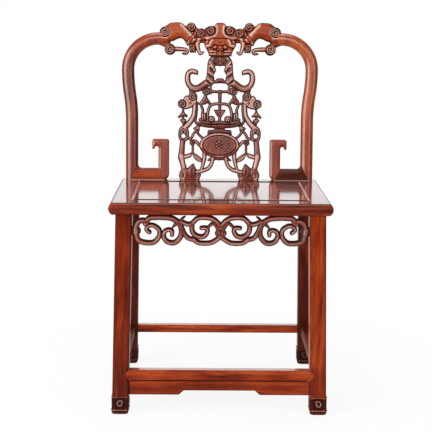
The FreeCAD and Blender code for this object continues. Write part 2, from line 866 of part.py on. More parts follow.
def crestBoard():
    # Brow beam, head scrolls, lower arms with hooked ends, and a cap over a beast mask
    drawnHalf, drawnHeight = 152.0, 85.0
    carving = Carving(crestHalf / drawnHalf, crestHeight / drawnHeight, crestThickness)
    carving.plate([(152, 30), (152, 61), (128, 71), (104, 79), (85, 68), (72, 55), (50, 50), (20, 50),
                   (20, 34), (48, 34), (72, 35), (90, 44), (104, 47), (119, 43)])
    carving.leaf([(138, 70), (122, 85), (102, 84), (87, 62), (104, 50), (130, 54)])
    carving.disc((140, 60), 13, scrollThickness)
    carving.disc((128, 18), 13, scrollThickness)
    carving.band([(136, 32), (120, 20), (96, 21), (88, 9)], 12, 7)
    carving.plate([(81, 9), (60, 9), (60, 38), (76, 42), (84, 25)])
    carving.band([(58, 30), (54, 7), (42, 9)], 8, 4)
    carving.disc((72, 75), 9)
    carving.plate([(72, 80), (91, 77), (91, 73), (72, 72)])
    carving.plate([(66, 75), (78, 75), (72, 46), (54, 44)])
    carving.disc((47.5, 58), 10)
    carving.disc((25.5, 65.5), 9)
    carving.plate([(0, 84), (15, 84), (24, 66), (36, 49), (36, 40), (0, 40)])
    carving.plate([(0, 50), (32, 48), (38, 35), (35, 20), (27, 4), (18, 0), (0, 0)], maskThickness)
    return carving.board()


def crestRail():
    board = crestBoard()
    board.translate(Vector(0, 0, splatTop))
    room = block((-crestHalf, crestHalf), around(0, 2 * maskThickness), (splatTop, 2 * backHeight))
    board = board.common(room)
    cuts = [splatTopTenon(clearance), armTenon(clearance), mirrored(armTenon(clearance)),
            crestPeg(clearance), mirrored(crestPeg(clearance))]
    return leaned(board.cut(cuts))


def crestPegs():
    return leaned(Part.makeCompound([crestPeg(0), mirrored(crestPeg(0))]))


def splatTopTenon(extra):
    return block(wider(around(0, splatTenonWidth), extra), wider(around(0, splatTenonThickness), extra),
                 (splatTop - 2 * backTenonDepth, splatTop + backTenonDepth + extra))


def drawUpperSplat(carving):
    # Arched wings under the mask that sweep out into large hooks, and the scrolls below them
    carving.plate([(0, 314), (20, 314), (24, 304), (15, 292), (6, 292), (0, 287)])
    carving.band([(15, 309), (23, 288), (26, 266), (34, 248)], 14, 20)
    carving.band([(28, 258), (44, 239), (66, 235), (82, 250), (80, 274), (61, 274)], 15, 7)
    carving.plate([(0, 260), (16, 254), (24, 253), (24, 247), (12, 248), (0, 252)])
    carving.disc((34.5, 228), 10)
    carving.strip([(36, 226), (0, 225)], 5)
    carving.plate([(0, 233), (4.5, 229), (3, 172), (0, 172)])


def drawFungusBranch(carving):
    # Leaf under the scroll, the two-lobed fungus head with its stem, pendant leaf and ring
    carving.plate([(35, 221), (41, 207), (49, 194), (30, 195), (25, 187), (20, 191), (31, 208)])
    carving.strip([(46, 197), (49, 188), (45, 177), (43, 152)], 5)
    carving.strip([(46, 196), (66, 200)], 5)
    carving.leaf([(105.5, 196), (96, 182), (76, 182), (61, 194), (61, 213), (72, 221), (82, 211), (98, 206)])
    carving.strip([(63, 194), (66, 176), (71, 160), (92, 133)], 10)
    carving.strip([(67, 164), (61, 149), (54, 142), (42, 142)], 5)
    carving.strip([(94, 186), (94, 150), (92, 132)], 4.5)
    carving.plate([(94, 179), (104, 159), (94, 164), (84, 160)])
    carving.plate([(94, 157), (99, 150), (94, 144), (89, 150)])


def drawBasket(carving):
    # Basket with its handle, fan, flowers and neck over the oval medallion
    carving.band([(30, 150), (29.5, 176), (20, 191), (-2, 193)], 6, 6)
    carving.plate([(0, 179), (15, 179), (9, 168), (3, 160), (3, 146), (0, 146)])
    carving.plate([(13, 146), (13, 158), (17, 163), (24, 163), (28, 158), (28, 146)])
    carving.plate([(37, 150), (47, 150), (46, 164), (38, 164)])
    carving.plate([(0, 151), (48, 153.5), (44, 145), (36, 138), (13, 134.5), (13, 129), (29, 127), (31, 119),
                   (20, 112), (0, 112)])
    carving.strip([(42, 145), (56, 141), (62, 149)], 4.5)
    carving.oval((0, 87), 48, 31.5, medallionThickness)
    carving.plate([(0, 60), (20, 60), (25, 50), (18, 48), (8, 52), (0, 47)])


def drawLowerVines(carving):
    # Ring and leg at the outside, vines beside the medallion, and the lotus foot
    ring = carving.oval((92.4, 118), 13, 18.8)
    carving.pieces.remove(ring)
    hole = carving.plate([(92.4, 121), (97, 116), (97.4, 108), (92.4, 103), (87.4, 108), (87.8, 116)])
    carving.pieces.remove(hole)
    carving.pieces.append(ring.cut(hole))
    carving.strip([(93, 104), (97, 80), (98, 58), (95, 38), (89, 18)], 12)
    carving.strip([(55, 142), (61, 121), (67, 108), (68.5, 96)], 5)
    carving.plate([(62, 96), (68.5, 103), (75, 96), (68.5, 89)])
    carving.strip([(68, 97), (58, 95), (44, 86)], 5)
    carving.strip([(68, 96), (68, 76), (78, 62), (97, 57)], 5)
    carving.plate([(70, 76), (56, 64), (45, 48), (57, 52), (67, 61)])
    carving.strip([(36, 64), (39, 44), (46, 20)], 6)
    carving.strip([(20, 57), (23, 43), (34, 30), (57, 18)], 7)
    carving.plate([(103, -footAllowance), (103, 12), (97, 24), (88, 31), (76, 29), (68, 38), (61, 27),
                   (50, 21), (47, 8), (47, -footAllowance)])


def backSplat():
    drawnHalf, drawnHeight = 106.0, 314.0
    carving = Carving(splatHalf / drawnHalf, splatTop / drawnHeight, splatThickness)
    drawUpperSplat(carving)
    drawFungusBranch(carving)
    drawBasket(carving)
    drawLowerVines(carving)
    below = block((-seatHalf, seatHalf), around(0, 2 * medallionThickness), (-2 * footAllowance, splatTop))
    board = joined([carving.board().common(below), splatTopTenon(0)])
    return onSeat(board, [splatTenon(0), mirrored(splatTenon(0))])


# Writing

def pairs(name, right):
    return {name + "_right": right, name + "_left": mirrored(right)}


def chair():
    parts = dict(seatFrame())
    parts["seat_panel"] = seatPanel()
    parts["seat_batten"] = seatBatten()
    parts.update(pairs("front_leg", frontRightLeg()))
    parts.update(pairs("rear_leg", rearRightLeg()))
    parts["front_scroll_apron"] = scrollApron()
    parts.update(pairs("side_apron", joined(list(sideApronParts(0)))))
    parts["rear_apron"] = joined(list(rearApronParts(0)))
    parts["front_stretcher"] = frontStretcher()
    parts["footrest_apron"] = footrestApron()
    parts.update(pairs("side_stretcher", joined(list(sideStretcherParts(0)))))
    parts["rear_stretcher"] = joined(list(rearStretcherParts(0)))
    parts.update(pairs("back_post", backPost()))
    parts.update(pairs("post_foot_bar", onSeat(footBar(), [])))
    parts.update(pairs("hook_upright", hookUpright()))
    parts["crest_rail"] = crestRail()
    parts["back_splat"] = backSplat()
    parts["apron_pins"] = apronPins()
    parts["footrest_pins"] = footrestPins()
    parts["crest_pegs"] = crestPegs()
    return parts


rearFootBack = legBack(rearLeg, footRound) + footFlare
crestBack = backY + backHeight * backLean + scrollThickness / 2
middleY = max(rearFootBack, crestBack, seatDepth) / 2

os.makedirs("parts", exist_ok=True)
for name, shape in chair().items():
    shape.translate(Vector(0, -middleY, 0))
    shape.exportStep("parts/" + name + ".step")
    print(name, len(shape.Solids), "solid", shape.isValid(), round(shape.Volume))
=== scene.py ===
import math

import bpy
import numpy as np
from mathutils import Matrix, Vector


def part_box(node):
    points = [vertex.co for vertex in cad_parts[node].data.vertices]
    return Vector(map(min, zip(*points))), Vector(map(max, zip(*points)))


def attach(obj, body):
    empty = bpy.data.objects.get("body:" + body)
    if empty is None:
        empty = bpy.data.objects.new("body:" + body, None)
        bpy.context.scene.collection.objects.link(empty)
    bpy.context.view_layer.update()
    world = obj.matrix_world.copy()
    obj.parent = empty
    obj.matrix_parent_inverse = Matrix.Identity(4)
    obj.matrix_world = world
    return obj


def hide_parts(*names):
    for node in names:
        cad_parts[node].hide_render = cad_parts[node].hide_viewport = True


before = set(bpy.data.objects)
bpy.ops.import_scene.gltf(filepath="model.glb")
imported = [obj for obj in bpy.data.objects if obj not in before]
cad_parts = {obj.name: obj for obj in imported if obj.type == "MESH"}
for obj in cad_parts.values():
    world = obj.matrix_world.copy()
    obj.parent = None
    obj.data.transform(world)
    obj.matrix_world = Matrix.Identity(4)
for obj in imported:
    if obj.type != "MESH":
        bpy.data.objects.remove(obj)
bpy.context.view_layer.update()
mm = 0.001
print("frame loaded,", len(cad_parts), "nodes")


def nodeBox(name):
    # lowest and highest corner of a node, in millimetres
    low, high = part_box(name)
    return np.array(low) / mm, np.array(high) / mm


# everything below is worked out in millimetres, from the seat that the frame gives
seat = {
    "half": nodeBox("seat_right_end")[1][0],
    "front": nodeBox("seat_front_rail")[0][1],
    "rear": nodeBox("seat_rear_rail")[1][1],
    "under": nodeBox("seat_front_rail")[0][2],
    "top": nodeBox("seat_front_rail")[1][2],
}


# shader arithmetic: a socket whose sums and products become Math nodes

class Amount:
    def __init__(self, finish, socket):
        self.finish = finish
        self.socket = socket

    def math(self, operation, first, second):
        made = self.finish.node("ShaderNodeMath", {"operation": operation}, {0: first, 1: second})
        return Amount(self.finish, made.outputs[0])

    def __add__(self, other):
        return self.math("ADD", self, other)

    def __radd__(self, other):
        return self.math("ADD", other, self)

    def __sub__(self, other):
        return self.math("SUBTRACT", self, other)

    def __rsub__(self, other):
        return self.math("SUBTRACT", other, self)

    def __mul__(self, other):
        return self.math("MULTIPLY", self, other)

    def __rmul__(self, other):
        return self.math("MULTIPLY", other, self)

    def above(self, least):
        return self.math("MAXIMUM", self, least)


class Finish:
    def __init__(self, owner):
        owner.use_nodes = True
        self.tree = owner.node_tree
        self.tree.nodes.clear()

    def node(self, kind, settings=None, sockets=None):
        # settings are set first, then each socket by its name or number gets a value or a link
        made = self.tree.nodes.new(kind)
        for key, value in (settings or {}).items():
            if key == "stops":
                self.setStops(made.color_ramp, value)
            else:
                setattr(made, key, value)
        for key, value in (sockets or {}).items():
            if isinstance(value, Amount):
                value = value.socket
            if isinstance(value, bpy.types.NodeSocket):
                self.tree.links.new(value, made.inputs[key])
            else:
                made.inputs[key].default_value = value
        return made

    def setStops(self, ramp, stops):
        while len(ramp.elements) < len(stops):
            ramp.elements.new(0.5)
        for element, (place, colour) in zip(ramp.elements, stops):
            element.position = place
            element.color = colour

    def amount(self, kind, settings=None, sockets=None, output=0):
        return Amount(self, self.node(kind, settings, sockets).outputs[output])

    def blend(self, share, first, second):
        made = self.node("ShaderNodeMix", {"data_type": "RGBA"}, {0: share, 6: first, 7: second})
        return made.outputs[2]

    def step(self, value, low, high):
        # 0 below low, 1 above high and a smooth rise between them
        return self.amount("ShaderNodeMapRange", {"interpolation_type": "SMOOTHSTEP"},
                           {"Value": value, "From Min": low, "From Max": high})


woodTones = {
    "deep": (0.016, 0.003, 0.002, 1),
    "dark": (0.060, 0.008, 0.003, 1),
    "red": (0.185, 0.020, 0.005, 1),
    "orange": (0.310, 0.045, 0.009, 1),
    "amber": (0.430, 0.100, 0.020, 1),
    # the pale colour of a painted highlight
    "paintedHighlight": (0.660, 0.420, 0.350, 1),
    # the near-black colour of painted shade in hollows and along rims
    "hollowShade": (0.012, 0.003, 0.002, 1),
}

# bounds say where a change starts and where it is full, in metres or as a share
grain = {
    "stretch": 0.055, "driftScale": 5.0, "drift": 0.03, "turn": (0.02, 0.03, 0.02),
    "fibreBands": 6.0, "poreBands": 17.0, "patchScale": 9.0, "poreBounds": (0.60, 0.72),
    "crestBounds": (0.70, 0.87), "rightShadeBounds": (0.0, 0.09), "floorBounds": (0.07, 0.16),
    "stops": (("dark", 0.30), ("red", 0.46), ("orange", 0.58), ("amber", 0.74)),
    "fibreShare": 0.2, "patchShare": 0.25, "poreShare": 0.3, "middle": 0.27,
    # where the painted shade of hollows and the painted highlight of crowns set in
    "hollowBounds": (0.05, 0.85), "hollowShare": 0.92, "crownBounds": (0.42, 1.0),
    "levelBounds": (0.6, 0.95), "dull": 0.25, "fibreRough": 0.10, "patchRough": 0.08,
    "relief": 0.02, "reliefDepth": 0.0006, "coatRough": 0.09,
}


def polishedWood(name, along, bands=75, warmth=0.0, rise=0.0, rightShade=0.0, low=0.0, contrast=0.9, gloss=0.2,
                 shine=0.3, paintSheen=0.6, mirror=0.0):
    # streaks, fibres and pores drawn out along one axis; a painted shade darkens hollows, rims and edges, and
    # a painted highlight pales crowns, the wood grows warmer by the rise towards the crest, darker by a
    # painted shade towards the right and by the low towards the floor, and a mirror coat lies only on faces
    # that look up
    material = bpy.data.materials.new(name)
    finish = Finish(material)
    stretch = [grain["stretch"] if axis == along else 1.0 for axis in "XYZ"]
    place = finish.node("ShaderNodeTexCoord").outputs["Object"]
    drift = finish.node("ShaderNodeTexNoise", None,
                        {"Vector": place, "Scale": grain["driftScale"], "Detail": 2.0})
    drift = finish.node("ShaderNodeVectorMath", {"operation": "MULTIPLY_ADD"},
                        {0: drift.outputs["Color"], 1: [grain["drift"]] * 3, 2: place})
    run = finish.node("ShaderNodeMapping", None,
                      {"Vector": drift.outputs[0], "Scale": stretch, "Rotation": grain["turn"]}).outputs[0]
    streak = finish.amount("ShaderNodeTexNoise", None,
                           {"Vector": run, "Scale": bands, "Detail": 4.0, "Roughness": 0.62})
    fibre = finish.amount("ShaderNodeTexNoise", None, {
        "Vector": run, "Scale": grain["fibreBands"] * bands, "Detail": 3.0, "Roughness": 0.6})
    pores = finish.amount("ShaderNodeTexNoise", None,
                          {"Vector": run, "Scale": grain["poreBands"] * bands, "Detail": 1.0})
    pores = finish.step(pores, *grain["poreBounds"])
    patch = finish.amount("ShaderNodeTexNoise", None,
                          {"Vector": place, "Scale": grain["patchScale"], "Detail": 3.0})
    split = finish.node("ShaderNodeSeparateXYZ", None, {0: place})
    crest = finish.step(split.outputs[2], *grain["crestBounds"])
    # the right of the chair, where a painted shade darkens the wood
    right = finish.step(split.outputs[0], *grain["rightShadeBounds"])
    floor = 1 - finish.step(split.outputs[2], *grain["floorBounds"])
    shade = (streak - 0.5) * contrast + fibre * grain["fibreShare"] + patch * grain["patchShare"]
    shade = shade + crest * rise - right * rightShade - floor * low + (warmth + grain["middle"])
    stops = [(start, woodTones[tone]) for tone, start in grain["stops"]]
    ramp = finish.node("ShaderNodeValToRGB", {"stops": stops}, {0: shade})
    colour = finish.blend(pores * grain["poreShare"], ramp.outputs[0], woodTones["deep"])
    # the attribute paints shade into hollows, rims and edges where it is positive, and a pale highlight where
    # it is negative
    recess = finish.amount("ShaderNodeAttribute", {"attribute_name": "recess"}, None, "Fac")
    hollowShade = finish.step(recess, *grain["hollowBounds"]) * grain["hollowShare"]
    colour = finish.blend(hollowShade, colour, woodTones["hollowShade"])
    crown = finish.step(recess * -1.0, *grain["crownBounds"]) * paintSheen
    colour = finish.blend(crown, colour, woodTones["paintedHighlight"])
    normal = finish.node("ShaderNodeNewGeometry").outputs["Normal"]
    facing = finish.node("ShaderNodeSeparateXYZ", None, {0: normal})
    sunk = recess.above(0.0)
    coat = finish.step(facing.outputs[2], *grain["levelBounds"]) * (1 - sunk) * mirror
    rough = (mirror - coat) * grain["dull"] + gloss + fibre * grain["fibreRough"]
    rough = rough + patch * grain["patchRough"] + sunk * grain["dull"]
    bump = finish.node("ShaderNodeBump", None, {
        "Strength": grain["relief"], "Distance": grain["reliefDepth"],
        "Height": fibre * 0.6 + streak * 0.5 - pores * 0.5})
    shader = finish.node("ShaderNodeBsdfPrincipled", None, {
        "Base Color": colour, "Roughness": rough, "Normal": bump.outputs[0], "IOR": 1.5,
        "Specular IOR Level": shine, "Coat Weight": coat, "Coat Roughness": grain["coatRough"],
        "Coat IOR": 1.5})
    finish.node("ShaderNodeOutputMaterial", None, {"Surface": shader.outputs[0]})
    return material


hookWood = polishedWood("hookWood", "Z", warmth=0.01, contrast=0.5, gloss=0.25, shine=0.85)
leftLegWood = polishedWood("leftLegWood", "Z", warmth=-0.09, contrast=0.65, shine=0.08, paintSheen=0.35)
rightLegWood = polishedWood("rightLegWood", "Z", warmth=0.04, low=0.1, contrast=0.65, shine=0.08, paintSheen=0.35)
# painted shade makes the rear legs darker than the front ones
rearLegShadeWood = polishedWood("rearLegShadeWood", "Z", warmth=-0.14, low=0.35, shine=0.08, paintSheen=0.08)
leftPostWood = polishedWood("leftPostWood", "Z", warmth=-0.08, rise=0.16, contrast=0.6, shine=0.85)
rightPostWood = polishedWood("rightPostWood", "Z", warmth=0.11, rise=0.04, contrast=0.6, shine=0.85)
crossWood = polishedWood("crossWood", "X", warmth=0.02, shine=0.08, mirror=0.7)
footrestWood = polishedWood("footrestWood", "X", contrast=0.6, shine=0.08)
# painted shade makes the side bars under the seat darker
deepShadeWood = polishedWood("deepShadeWood", "Y", warmth=-0.1, gloss=0.42, shine=0.08)
leftBarWood = polishedWood("leftBarWood", "X", warmth=0.03, shine=0.35)
rightBarWood = polishedWood("rightBarWood", "X", warmth=-0.12, shine=0.3)
seatWood = polishedWood("seatWood", "X", bands=60, warmth=-0.02, gloss=0.03, shine=0.15, paintSheen=1.0, mirror=1.0)
seatEndWood = polishedWood("seatEndWood", "Y", bands=60, warmth=-0.02, gloss=0.03, shine=0.15, paintSheen=1.0,
                           mirror=1.0)
carvedWood = polishedWood("carvedWood", "Z", bands=90, contrast=0.5, warmth=-0.06, gloss=0.22, shine=0.7,
                          paintSheen=0.82)
# painted shade darkens the crest towards its right half
crestWood = polishedWood("crestWood", "X", bands=90, contrast=0.5, warmth=0.13, rightShade=0.12, gloss=0.22,
                         shine=0.25, paintSheen=0.85)
apronWood = polishedWood("apronWood", "X", bands=90, contrast=0.5, warmth=-0.06, gloss=0.22, shine=0.5,
                         paintSheen=0.85)
print("finishes made")


# meshes

def enclosedVolume(points, faces):
    # sum of the signed tetrahedra between the origin and the fan of each face
    total = 0.0
    for group in faces:
        first = points[group[:, 0]]
        for corner in range(1, group.shape[1] - 1):
            second, third = points[group[:, corner]], points[group[:, corner + 1]]
            total += np.einsum("ij,ij->i", first, np.cross(second, third)).sum()
    return total / 6


def makePiece(name, shells, node, finish, recess=None, crease=40):
    # each shell is a list of places and a list of face arrays, one for each count of corners
    points, groups, start = [], [], 0
    for shellPoints, shellFaces in shells:
        turn = -1 if enclosedVolume(shellPoints, shellFaces) < 0 else 1
        points.append(shellPoints)
        groups += [group[:, ::turn] + start for group in shellFaces if len(group)]
        start += len(shellPoints)
    points = np.concatenate(points)
    corners = np.concatenate([group.ravel() for group in groups]).astype(np.int32)
    sizes = np.concatenate([np.full(len(group), group.shape[1]) for group in groups])
    starts = np.concatenate([[0], np.cumsum(sizes)[:-1]]).astype(np.int32)
    mesh = bpy.data.meshes.new(name)
    mesh.vertices.add(len(points))
    mesh.vertices.foreach_set("co", (points * mm).astype(np.float32).ravel())
    mesh.loops.add(len(corners))
    mesh.loops.foreach_set("vertex_index", corners)
    mesh.polygons.add(len(starts))
    mesh.polygons.foreach_set("loop_start", starts)
    mesh.polygons.foreach_set("use_smooth", np.ones(len(starts), bool))
    mesh.update(calc_edges=True)
    mesh.validate()
    mesh.set_sharp_from_angle(angle=math.radians(crease))
    if recess is not None:
        mesh.attributes.new("recess", "FLOAT", "POINT").data.foreach_set("value", recess.astype(np.float32))
    mesh.materials.append(finish)
    piece = bpy.data.objects.new(name, mesh)
    bpy.context.scene.collection.objects.link(piece)
    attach(piece, "root")
    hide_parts(node)


def skin(rows):
    # rows of places round a closed section, joined row to row and closed by a flat face at both ends
    count, around = rows.shape[:2]
    index = np.arange(count * around).reshape(count, around)
    beside = np.roll(index, -1, axis=1)
    sides = np.stack([index[:-1], beside[:-1], beside[1:], index[1:]], -1).reshape(-1, 4)
    return rows.reshape(-1, 3), [sides, index[:1, ::-1], index[-1:]]


def softCorners(cornerSteps, sideSteps):
    # for each place round a soft rectangle: its corner's signs, changing along the sides, and the way out
    signs = [(1, -1), (1, 1), (-1, 1), (-1, -1)]
    table = []
    for quarter, sign in enumerate(signs):
        following = signs[(quarter + 1) % 4]
        turn = (np.linspace(0, 1, cornerSteps) + quarter - 1) * np.pi / 2
        corner = [np.full(cornerSteps, sign[0]), np.full(cornerSteps, sign[1]), np.cos(turn), np.sin(turn)]
        share = np.arange(1, sideSteps) / sideSteps
        side = [sign[0] + (following[0] - sign[0]) * share, sign[1] + (following[1] - sign[1]) * share,
                np.full(sideSteps - 1, np.cos(turn[-1])), np.full(sideSteps - 1, np.sin(turn[-1]))]
        table += [np.stack(corner, -1), np.stack(side, -1)]
    return np.concatenate(table).T


def softRectangle(width, height, radius, cornerSteps=6, sideSteps=1):
    # four straight sides joined by quarter circles; width and height may change from row to row
    signX, signY, outX, outY = softCorners(cornerSteps, sideSteps)
    width, height = np.asarray(width)[..., None], np.asarray(height)[..., None]
    return np.stack(np.broadcast_arrays(signX * (width / 2 - radius) + radius * outX,
                                        signY * (height / 2 - radius) + radius * outY), -1)


def mirroredRows(rows):
    # the same places on the other side of the chair
    return rows * np.array([-1.0, 1.0, 1.0])


def makePair(name, shell, node, finishes, recess=None, crease=40):
    # a piece on the right of the chair and its mirror image on the left
    points, faces = shell
    makePiece(name + "Right", [(points, faces)], node + "_right", finishes[0], recess, crease)
    makePiece(name + "Left", [(mirroredRows(points), faces)], node + "_left", finishes[1],
              recess, crease)


def smoothPath(points, steps=10, closed=False):
    # cubic runs through the points; each slope is half of the way between the neighbours
    points = np.array(points, float)
    if closed:
        slope = (np.roll(points, -1, 0) - np.roll(points, 1, 0)) / 2
        points, slope = np.vstack([points, points[:1]]), np.vstack([slope, slope[:1]])
    else:
        padded = np.vstack([2 * points[0] - points[1], points, 2 * points[-1] - points[-2]])
        slope = (padded[2:] - padded[:-2]) / 2
    t = np.arange(steps)[:, None] / steps
    runs = [(2 * t**3 - 3 * t**2 + 1) * points[i] + (t**3 - 2 * t**2 + t) * slope[i]
            + (3 * t**2 - 2 * t**3) * points[i + 1] + (t**3 - t**2) * slope[i + 1]
            for i in range(len(points) - 1)]
    return np.vstack(runs + [points[-1:]])


def distanceTo(path, x, z):
    # least distance from each place to the runs of a path, and the share of the path's length passed there
    run = np.diff(path, axis=0)
    length = np.hypot(run[:, 0], run[:, 1])
    passed = np.concatenate([[0], np.cumsum(length)])
    offset = np.stack([x, z], -1)[..., None, :] - path[:-1]
    share = np.clip((offset * run).sum(-1) / np.maximum(length**2, 1e-9), 0, 1)
    gap = np.linalg.norm(offset - share[..., None] * run, axis=-1)
    nearest = gap.argmin(-1)[..., None]
    along = np.take_along_axis(share, nearest, -1)[..., 0] * length[nearest[..., 0]] + passed[nearest[..., 0]]
    return np.take_along_axis(gap, nearest, -1)[..., 0], along / passed[-1]


def insideOf(outline, x, z):
    # distance to a closed outline, positive inside: a level line from there crosses the outline an odd count
    gap = distanceTo(outline, x, z)[0]
    first, second = outline[:-1], outline[1:]
    straddles = (first[:, 1] > z[..., None]) != (second[:, 1] > z[..., None])
    rise = np.where(second[:, 1] == first[:, 1], 1, second[:, 1] - first[:, 1])
    crossing = first[:, 0] + (second[:, 0] - first[:, 0]) * (z[..., None] - first[:, 1]) / rise
    odd = (straddles & (x[..., None] < crossing)).sum(-1) % 2 == 1
    return np.where(odd, gap, -gap)


def smoothStep(value):
    # 0 below 0, 1 above 1 and a smooth rise between them
    value = np.clip(value, 0, 1)
    return value**2 * (3 - 2 * value)


def dome(share):
    # quarter circle from 0 at the edge to 1 at the crown
    return np.sqrt(1 - (1 - np.clip(share, 0, 1)) ** 2)


def boxAverage(field, reach):
    # mean over a square of cells, by running sums along each axis
    for axis in (0, 1):
        size = field.shape[axis]
        margins = [(reach + 1, reach) if side == axis else (0, 0) for side in (0, 1)]
        total = np.cumsum(np.pad(field, margins), axis)
        field = np.take(total, np.arange(2 * reach + 1, 2 * reach + 1 + size), axis)
        field = (field - np.take(total, np.arange(size), axis)) / (2 * reach + 1)
    return field


def cutCells(inside):
    # cells of a grid cut along the line where inside is 0: faces by count of corners, and the runs of the cut
    rows, columns = inside.shape
    node = np.arange(rows * columns).reshape(rows, columns)
    level = node[-1, -1] + 1 + np.arange(rows * (columns - 1)).reshape(rows, columns - 1)
    upright = level[-1, -1] + 1 + np.arange((rows - 1) * columns).reshape(rows - 1, columns)
    ring = [node[:-1, :-1], level[:-1], node[:-1, 1:], upright[:, 1:],
            node[1:, 1:], level[1:], node[1:, :-1], upright[:, :-1]]
    within = inside > 0
    held = [within[:-1, :-1], within[:-1, 1:], within[1:, 1:], within[1:, :-1]]
    case = held[0] + 2 * held[1] + 4 * held[2] + 8 * held[3]
    faces, runs = {}, []
    for number in range(1, 16):
        cells = case == number
        kept = [number >> corner & 1 for corner in range(4)]
        walk = []
        for corner in range(4):
            walk += [2 * corner] * kept[corner]
            walk += [2 * corner + 1] * (kept[corner] != kept[(corner + 1) % 4])
        faces.setdefault(len(walk), []).append(np.stack([ring[place][cells] for place in walk], -1))
        for first, second in zip(walk, walk[1:] + walk[:1]):
            if first % 2 and second % 2:
                runs.append(np.stack([ring[first][cells], ring[second][cells]], -1))
    return [np.concatenate(group) for group in faces.values()], np.concatenate(runs)


# shares of a curl's radius or ridge, and millimetres elsewhere
strokes = {
    "pastMiddle": -25.0, "sheenShare": 0.6, "curlSunk": 1.5, "curlSoft": 2.0, "curlEdge": 0.9, "curlEnd": 1.15,
    "curlRidge": (0.58, 0.52), "curlEye": 0.45, "spread": 2.6, "hollowDepth": 1.3, "rimStrength": 1.5,
    "cutShare": (0.08, 0.92),
}


